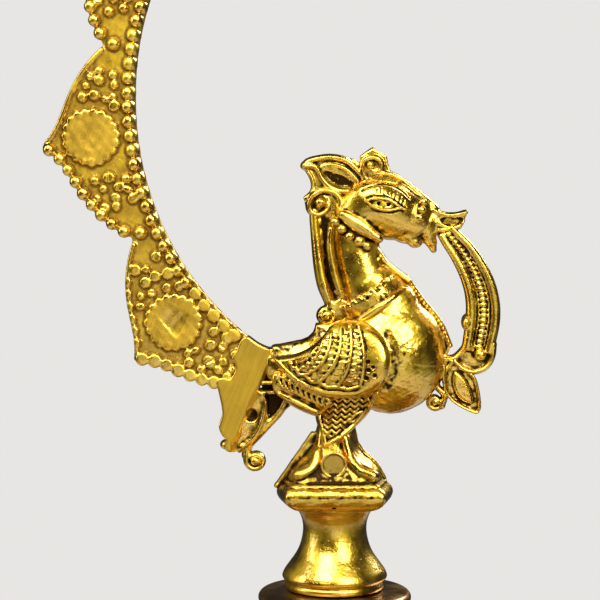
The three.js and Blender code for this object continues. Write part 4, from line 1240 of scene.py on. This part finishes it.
def build_head(look):
    clay = Clay((-5, 76), (40, 120), 12, 0.25)
    neck = clay.chain([(12.0, 78.6, 7.6), (9.2, 84.8, 7.2), (6.8, 91, 6.5), (5.2, 98, 6.0),
        (5.6, 104, 5.9), (8.6, 108.6, 6.2)], 0.92)
    clay.add(neck, BASE_BLEND)
    skull = [(10.2, 106.9, 7.8), (15.6, 105.9, 8.2), (20.6, 104.3, 6.8), (25, 102.5, 4.4),
        (29, 102.5, 3.0)]
    clay.add(clay.chain(skull, 0.82), 1.2)
    clay.add(clay.chain([(7.6, 106.9, 6.2), (2.9, 106.9, 3.4)], 0.7), 1.5)
    clay.add(clay.egg((13.4, 2.2, 107.5), (9.6, 5.6, 6.4), -20), 0.8)
    clay.add(clay.chain([(7.7, 98.5, 4.9), (5.6, 94.5, 5.6)], 0.9), 1.0)
    flat = clay.relief()
    beak = smooth([
        (26.3, 106.9), (28.6, 105.8), (31, 105.4), (34, 105.4), (36.8, 106), (36.3, 104.2),
        (35.4, 102.2), (34.8, 101), (32.4, 100.6), (29.5, 99.9), (27.3, 100.2), (25, 102.2)
    ], 3, closed=True)
    clay.add(clay.plate(flat.inside(beak), 2.5, 0.9), 0.7)
    lip = smooth([(27.3, 106.1), (29, 105.4), (31, 104.9), (33.7, 104.9), (36.4, 105.6)], 4)
    clay.rod(lip, 0.6, 4.6, 0.4)
    lower_lip = smooth([(28.7, 100.7), (30.7, 100.5), (32.7, 101), (34.7, 101.5), (35.8, 103.3)], 4)
    clay.rod(lower_lip, 0.5, 5.2, 0.4)
    mouth = smooth([(29.3, 103.7), (30.8, 104.1), (33.7, 104), (35.4, 103.9), (35.2, 102.7),
        (33.7, 101.9), (31.1, 101.8), (29.6, 102.7)], 3, closed=True)
    clay.cut(np.maximum(flat.inside(mouth)[:, None, :], 1.5 - clay.y), 0.3)
    jaw = [(25.7, 99.5, 2.3), (26.8, 97.2, 1.7), (27.5, 95, 0.9)]
    clay.add(clay.chain(jaw, 1.3), 1.0)
    for bump_at, size in (((22.3, 97.2), 1.7), ((19, 98.8), 1.9), ((20.6, 98.5), 1.6)):
        clay.add(clay.egg((bump_at[0], 0, bump_at[1]), (size * 1.2, 3.0, size)), 1.0)
    brow = smooth([(11.9, 116.1), (14.9, 116.2), (18.2, 114.7), (21.6, 112.2), (25.3, 109.2),
        (28.3, 106.7)], 4)
    clay.rod(brow, 0.9, 2.2, 0.9)
    cheek_top, cheek_end = np.array((2.1, 5.6, 105.1)), np.array((12, 5.2, 98.5))
    for t in np.linspace(0, 1, 14):
        x, y, z = cheek_top * (1 - t) + cheek_end * t
        size = 1.35 + 0.75 * math.sin(math.pi * min(t * 1.15, 1))
        clay.add(clay.egg((x, y, z), (size, 1.7, size)), 0.5)
    for at, size in (((-0.1, 103.1), 1.5), ((1.8, 101.1), 1.5), ((4, 99.1), 1.5), ((6.7, 97.7), 1.7),
            ((8.8, 96.4), 1.4)):
        clay.add(clay.egg((at[0], 5.0, at[1]), (size * 0.95, 1.7, size * 0.95)), 0.25)
    for at, size in (((24.3, 108.5), 1.1), ((23.9, 106.3), 1.25), ((23.4, 104.2), 1.15)):
        clay.add(clay.egg((at[0], 4.6, at[1]), (size, size * 1.1, size)), 0.15)
    throat = smooth([(10.2, 96.5), (12.3, 94.2), (14.3, 91.3), (18, 88.3), (20.7, 86.3)], 4)
    clay.rod(throat, 0.95, 2.8, 0.6)
    for at in ((10.5, 95.4), (12, 92.5)):
        clay.add(clay.egg((at[0], 2.4, at[1]), (0.9, 1.4, 0.9)), 0.3)
    clay.wobble(6, 0.04)
    face = clay.relief()
    upper = smooth([(8.5, 108.9), (10, 109.5), (11.7, 109.7), (14, 109.5), (15.9, 108.6), (17.9, 107.1),
        (19.4, 106.3)])
    lower = smooth([(8.7, 108.7), (10, 107.5), (11.7, 106.7), (14.7, 106.3), (16.9, 106.7),
        (18.3, 106.8)])
    face.ridge(upper, [0.35, 0.5, 0.5, 0.35], 0.7)
    face.ridge(lower, [0.35, 0.5, 0.35], 0.6)
    face.groove(upper + (0.0, 0.7), 0.3, 0.16)
    face.groove(lower - (0.0, 0.7), 0.3, 0.14)
    for dot in ((11.9, 108.2), (14.6, 107.9)):
        face.pit(dot, 0.55, 0.8)
    for start, end in (
        ((12.7, 112.4), (12.5, 110.8)), ((13.6, 112.6), (13.4, 110.8)), ((15, 112.3), (14.6, 110.7)),
        ((15.9, 111.6), (15.5, 110.1)), ((16.9, 110.8), (16.2, 109)), ((18.1, 109.8), (17.3, 108.1)),
        ((19, 109), (18.2, 107.5)), ((11.6, 112.1), (11.6, 110.9)),
    ):
        face.groove([start, end], 0.24, 0.22)
    face.groove(smooth([(7.4, 111.7), (10, 112.9), (12.6, 113.4), (15.9, 112.9), (18.6, 111.4),
        (20.6, 109.5)]), 0.35, 0.3)
    clay.emboss(face)
    clay.keep(77.5 - clay.z, 0.2)
    cast_piece("neck_and_head_cast", clay, look, ["neck_and_head"])


def build_crest(look):
    clay = Clay((-12, 104), (18, 127), 4.5, 0.22)
    web = clay.relief()
    leaf = smooth([
        (-9.3, 118.4), (-7.9, 119.9), (-4.8, 121), (-1.2, 121.3), (2.8, 120.9), (6.2, 119.8),
        (7.5, 116.9), (8.9, 113.6), (6.9, 110.9), (2.2, 110.6), (0.2, 109.9), (-4.5, 110.9),
        (-6.8, 111.2), (-6.4, 113.2), (-6.8, 115.9)
    ], 3,
        closed=True)
    scroll = [(6.9, 121.1), (8.8, 122.3), (10.5, 123.4), (12.2, 122.4), (14.3, 121.2), (14.8, 118.9),
        (15.6, 116.9), (17.6, 115.2), (18.2, 112.2), (12.2, 111.6), (8.9, 113.6), (7, 117.3)]
    clay.add(clay.plate(web.inside(leaf), 0.85, 0.5), BASE_BLEND)
    clay.add(clay.plate(web.inside(scroll), 1.3, 0.5), 0.3)
    eye = smooth([(-3.3, 116.9), (-1.2, 116.7), (2.2, 115.6), (4.9, 113.9), (5.7, 112.9), (3.2, 112.7),
        (-0.2, 113.4), (-2.2, 114.9)], 3, closed=True)
    clay.cut(np.maximum(web.inside(eye)[:, None, :], 0.35 - clay.y), 0.25)
    horn = [
        (-6.2, 112.6), (-6.7, 111.1), (-8.8, 109.8), (-8.4, 107.8), (-7.6, 106.3), (-5.8, 105.1),
        (-0.1, 103.5), (4.9, 104.2), (4.5, 109.9), (0.5, 110.9)
    ]
    clay.add(clay.plate(web.inside(horn), 1.3, 0.5), 0.3)
    clay.rod(smooth([(-8.6, 118.4), (-7.5, 119.6), (-4.8, 120.4), (-1.2, 120.8), (2.8, 120), (5.5, 117.9),
        (7.5, 115.6), (8.5, 113.9)], 5), [1.1, 1.0, 1.0, 0.8], 1.9)
    clay.rod(smooth([(-8.5, 118.5), (-5.5, 118.1), (-3.5, 114.6), (-1.2, 112.4), (2.2, 111.4),
        (6.2, 111.8)], 5), [1.2, 0.9, 1.1, 0.9], 2.0)
    clay.rod(smooth([(-4.5, 117.9), (-1.2, 118.8), (2.8, 117.6), (5.7, 114.9), (6.9, 112.9)], 5),
        [0.55, 0.7, 0.5], 2.1)
    clay.rod(smooth([(-8.1, 109.4), (-6.5, 111.1), (-6.1, 112.9), (-6.6, 115.2), (-8.4, 118.2)], 5),
        [0.7, 0.7], 2.0)
    clay.rod(smooth([(1.4, 107.1), (1.3, 109.2), (-0.2, 111), (-3.2, 111.6), (-5.7, 110.6), (-7.2, 108.2),
        (-6.8, 105.9), (-4.5, 104.9), (-2.4, 106.1), (-1.7, 107.9)], 5), [1.1, 1.1, 1.1, 1.05, 0.8], 2.4)
    clay.add(clay.chain([(-4.2, 108.4, 3.0), (-4.3, 107.9, 3.0)], 0.72), 0.4)
    ball = (-4.1, 108.3)
    clay.add(clay.egg((ball[0], 1.5, ball[1]), (1.6, 1.9, 1.6)), 0.2)
    clay.rod(smooth([(10.2, 113.9), (8.4, 115.2), (7.5, 117.6), (8.1, 119.8), (10.2, 120.8),
        (12.2, 120.1), (12.9, 118.4), (12.2, 117.1), (10.5, 116.9), (9.6, 117.6)], 5),
        [0.8, 0.9, 1.0, 0.9, 0.6], 2.2)
    ball = (9.8, 118.7)
    clay.add(clay.egg((ball[0], 1.2, ball[1]), (1.15, 1.5, 1.15)), 0.15)
    clay.rod(smooth([(12.2, 116.9), (14.2, 116.4), (16.6, 115.6)], 5), [0.7, 0.8, 0.6], 2.6)
    clay.rod(smooth([(10.4, 123.1), (9.2, 122.3), (7.4, 120.9)], 5), [0.5, 0.5], 1.8)
    # Painted shade in the hollow eye of the crest
    web.paint_shade(eye, 0.3, 0.4)
    cast_piece("crest_cast", clay, look, ["crest"], marks=web)


def build_nape(look):
    clay = Clay((-8, 72), (8, 114), 7.5, 0.25)

    def rail(line, radius, flat, y=0.0, blend=0.4):
        for (x, z), r in zip(line, spread(radius, len(line))):
            clay.add(clay.egg((x, y, z), (r, r * flat, r)), blend)

    outer = spaced(smooth([(-5.8, 105.9), (-5.7, 102.8), (-5.3, 98.7), (-4.8, 94.1), (-4.1, 89.4),
        (-3.2, 85.3), (-1.8, 81.5), (-1.1, 79.5)]), 0.5)
    rail(outer, (1.3, 1.35, 1.5, 1.7, 1.8, 1.5), 1.5)
    inner = spaced(smooth([(-1.3, 101.2), (-1.5, 97.4), (-1.3, 93.9), (-0.4, 89.6), (0.6, 85.8),
        (2, 82.1)]), 0.5)
    rail(inner, (0.7, 0.8, 0.9, 0.9, 0.8), 1.2, 4.2)
    web = clay.relief()
    outline = [(-6.1, 105.7), (-5.6, 98.7), (-4.2, 87.1), (-2.7, 81.8), (-1, 78.9), (2.5, 79.8),
        (1.3, 85.6), (-0.1, 92.9), (-0.1, 101.6), (-1, 105.1)]
    clay.add(clay.plate(web.inside(outline), 0.9, 0.4), 0.3)
    chips = np.random.default_rng(3)
    for t in np.linspace(0.12, 0.75, 6):
        x, z = outer[int(t * (len(outer) - 1))]
        clay.add(clay.egg((x + 1.5, 0.8, z), (0.5, 0.7, chips.uniform(1.0, 2.2))), 0.5)
    foot = [(1.4, 81.8), (-2.1, 79.5), (-3, 76.6), (-1, 73.9), (5.4, 73.4), (6, 79.8)]
    clay.add(clay.plate(web.inside(foot), 2.4, 1.0), 0.8)
    centre = (-2.4, 76.6)
    clay.add(clay.egg((centre[0], 0, centre[1]), (2.9, 3.6, 2.9)), 0.5)
    knob = clay.relief()
    knob.groove(spiral(centre, 2.0, 0.9, 60, 0.8), 0.5, 0.26)
    # Painted shade in the groove between the ribbon's rails
    knob.paint_shade([(-4.3, 105.1), (-1.1, 104.5), (-1.4, 95.8), (-0.5, 90), (0.6, 84.2), (-1, 82.4),
        (-3.2, 88.2)], 0.2, 0.5)
    clay.emboss(knob)
    cast_piece("nape_ribbon_cast", clay, look, ["nape_ribbon"], marks=knob)


def build_collar(look):
    """The band over the joint of neck and trunk: beads above, a flat band, and a rolled edge below."""
    clay = Clay((-4, 72), (24, 94), 13, 0.25)
    x0, z0, tilt = 10.6, 81.6, math.radians(124)
    along = (clay.x - x0) * math.cos(tilt) + (clay.z - z0) * math.sin(tilt)
    across = (clay.x - x0) * math.sin(tilt) - (clay.z - z0) * math.cos(tilt)
    y = clay.y / 0.92
    out = np.sqrt(across**2 + y**2)
    turn = np.arctan2(y, across)
    flare = 0.5 * (1 + np.cos(turn))
    band = smooth_max(np.abs(along + 0.1) - 2.5 + 0.5 * flare, np.abs(out - 8.9 + 0.5 * flare) - 1.0, 0.7)
    clay.add(band, BASE_BLEND)
    clay.add(np.sqrt((along + 2.7 - 0.5 * flare) ** 2 + (out - 10.1 + 0.5 * flare) ** 2) - 0.9, 0.35)
    clay.add(np.sqrt((along - 2.1 + 0.4 * flare) ** 2 + (out - 8.7 + 0.5 * flare) ** 2) - 0.6, 0.3)
    beads = 26
    nearest = np.round(turn * beads / (2 * math.pi)) * 2 * math.pi / beads
    gap = (turn - nearest) * 8.8
    clay.add(
        np.sqrt((along - 2.5 + 0.4 * flare) ** 2 + (out - 8.9 + 0.6 * flare) ** 2 + gap**2) - 1.05, 0.15
    )
    face = clay.relief()
    for at in ((8.1, 83.9), (11.8, 84.2), (8.8, 82.2), (18.5, 86.5), (19.4, 85.4), (13.4, 86.2)):
        face.pit(at, 0.6, 0.8)
    for at, size in (((13.3, 82.7), 0.9), ((12.7, 86.2), 1.0)):
        face.bead(at, size, -0.4)
    clay.emboss(face)
    cast_piece("neck_collar_cast", clay, look, ["neck_collar"])


# ---- The scene ----

def build_floor():
    """A pale disc that fades out at its edge into the pale surroundings."""
    radius, rings, spokes = 1.6, 24, 96
    verts, faces = [(0, 0, 0)], []
    for k in range(1, rings + 1):
        r = radius * k / rings
        verts += [(r * math.cos(a), r * math.sin(a), 0) for a in np.linspace(0, 2 * math.pi, spokes,
            endpoint=False)]

    def ring(k, j):
        return 1 + k * spokes + j % spokes

    faces += [(0, ring(0, j), ring(0, j + 1)) for j in range(spokes)]
    for k in range(rings - 1):
        faces += [(ring(k, j), ring(k + 1, j), ring(k + 1, j + 1), ring(k, j + 1)) for j in range(spokes)]
    mesh = bpy.data.meshes.new("floor")
    mesh.from_pydata(verts, [], faces)
    floor = bpy.data.objects.new("floor", mesh)
    bpy.context.scene.collection.objects.link(floor)
    look, tree, shader = shader_tree("floor")
    shader.inputs["Base Color"].default_value = (0.78, 0.77, 0.75, 1)
    shader.inputs["Roughness"].default_value = 0.9
    where = node(tree, "ShaderNodeTexCoord").outputs["Object"]
    length = node(tree, "ShaderNodeVectorMath", operation="LENGTH")
    tree.links.new(where, length.inputs[0])
    fade = ramp(tree, length.outputs["Value"], radius * 0.3, radius * 0.97, 0, 1)
    clear = node(tree, "ShaderNodeBsdfTransparent")
    mix = node(tree, "ShaderNodeMixShader")
    tree.links.new(fade, mix.inputs["Fac"])
    tree.links.new(shader.outputs["BSDF"], mix.inputs[1])
    tree.links.new(clear.outputs["BSDF"], mix.inputs[2])
    tree.links.new(mix.outputs["Shader"], tree.nodes["Material Output"].inputs["Surface"])
    mesh.materials.append(look)
    floor.location.z = -0.0004


def build_surroundings():
    """Pale to the eye, but dim in reflections, so that the polished brass keeps its contrast."""
    world = bpy.data.worlds.new("studio")
    bpy.context.scene.world = world
    world.use_nodes = True
    tree = world.node_tree
    seen = node(tree, "ShaderNodeBackground")
    seen.inputs["Color"].default_value = (0.80, 0.79, 0.77, 1)
    dim = tree.nodes["Background"]
    dim.inputs["Color"].default_value = (0.92, 0.90, 0.86, 1)
    dim.inputs["Strength"].default_value = 0.035
    ray = node(tree, "ShaderNodeLightPath")
    mix = node(tree, "ShaderNodeMixShader")
    tree.links.new(ray.outputs["Is Camera Ray"], mix.inputs["Fac"])
    tree.links.new(dim.outputs["Background"], mix.inputs[1])
    tree.links.new(seen.outputs["Background"], mix.inputs[2])
    tree.links.new(mix.outputs["Shader"], tree.nodes["World Output"].inputs["Surface"])


def softbox(name, azimuth, elevation, width, height, power):
    """An area light at an angle round the finial: azimuth 0 is the camera's side, 90 the bird's front."""
    data = bpy.data.lights.new(name, "AREA")
    data.shape = "RECTANGLE"
    data.size, data.size_y, data.energy = width, height, power
    lamp = bpy.data.objects.new(name, data)
    a, e = math.radians(azimuth), math.radians(elevation)
    away = np.array([math.sin(a) * math.cos(e), -math.cos(a) * math.cos(e), math.sin(e)])
    lamp.location = np.array(LIGHT_TARGET) + away * SOFTBOX_DISTANCE
    track(lamp, LIGHT_TARGET)
    bpy.context.scene.collection.objects.link(lamp)


def track(thing, target):
    thing.rotation_euler = (Vector(target) - thing.location).to_track_quat("-Z", "Y").to_euler()


CAMERA_LENS = 128.6
CAMERA_DISTANCE = 0.6
CAMERA_PITCH = math.radians(4.5)
CAMERA_TARGET = (-0.0098, 0.0, (FINIAL_Z + 80.92) * MM)
LIGHT_TARGET = (0.0, 0.0, (FINIAL_Z + 70) * MM)
SOFTBOXES = (
    # name, azimuth and elevation in degrees, width, height, power
    ("key", -30, 48, 0.62, 0.55, 9.8),
    ("front", 27, 30, 0.52, 0.66, 8.2),
    ("side", -82, 20, 0.20, 0.80, 3.0),
    ("rim", 140, 35, 0.30, 0.70, 5.0),
    ("low", 8, -12, 0.7, 0.25, 0.8),
)
SOFTBOX_DISTANCE = 1.0


def build_camera():
    data = bpy.data.cameras.new("camera")
    data.sensor_width, data.lens = 36, CAMERA_LENS
    camera = bpy.data.objects.new("camera", data)
    target, pitch, distance = CAMERA_TARGET, CAMERA_PITCH, CAMERA_DISTANCE
    camera.location = (target[0], -distance * math.cos(pitch), target[2] + distance * math.sin(pitch))
    track(camera, target)
    bpy.context.scene.collection.objects.link(camera)
    bpy.context.scene.camera = camera


def build_lights():
    for box in SOFTBOXES:
        softbox(*box)


def build_all():
    cast = brass_look("cast_brass", grit=0.75)
    turned = brass_look("turned_brass", gloss=0.26, hollow=(-0.9, -0.3), grit=0.5, lathe=0.35)
    worn = brass_look("worn_brass", gloss=0.3, hollow=(-0.6, -0.1), grit=1.0, lathe=0.5)
    # The dish and the post get a darker brass: painted shade
    shaded = brass_look("aged_brass", BRASS_SHADED, (0.36, 0.18, 0.035), 0.36, (-0.5, 0.0), grit=0.3,
        lathe=0.3)
    # The tail's hollows take a brown that is partly painted shade
    tail = brass_look("tail_brass", gloss=0.33, hollow=(-0.36, -0.02), patina_and_shade_colour=GROUND_SHADE_BROWN, grit=0.55)
    filed = brass_look("filed_brass", gloss=0.24, grit=0.25)
    rivet = brass_look("rivet_brass", gloss=0.24, filed_colour=RIVET_FILED, grit=0.3)
    build_stand(turned)
    build_dish(shaded)
    build_post(shaded)
    build_spool(worn)
    build_tail(tail)
    build_tail_block(filed)
    build_rump_scroll(cast)
    build_garland(cast)
    build_bud(cast)
    build_breast_web(cast)
    build_trunk(cast)
    build_wings(cast)
    build_fringes(cast)
    build_thighs(cast)
    build_foot(cast)
    build_rivet(rivet)
    build_head(cast)
    build_crest(cast)
    build_nape(cast)
    build_collar(cast)
    steel = plain_look("plain_steel", STEEL, 1.0, 0.35, 900, 0.00005)
    rubber = plain_look("rubber_seal", RUBBER, 0.0, 0.6, 500, 0.0001)
    for names, look, slot in (
        (("tie_rod", "nut_washer", "base_nut", "finial_stud"), steel, "plain_steel"),
        (("dish_seal_lower", "dish_seal_upper", "finial_washer"), rubber, "rubber_seal"),
    ):
        for name in names:
            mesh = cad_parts[name].data
            mesh.materials.clear()
            mesh.materials.append(look)


build_all()
build_floor()
build_surroundings()
build_lights()
build_camera()
scene = bpy.context.scene
scene.view_settings.view_transform = "Standard"
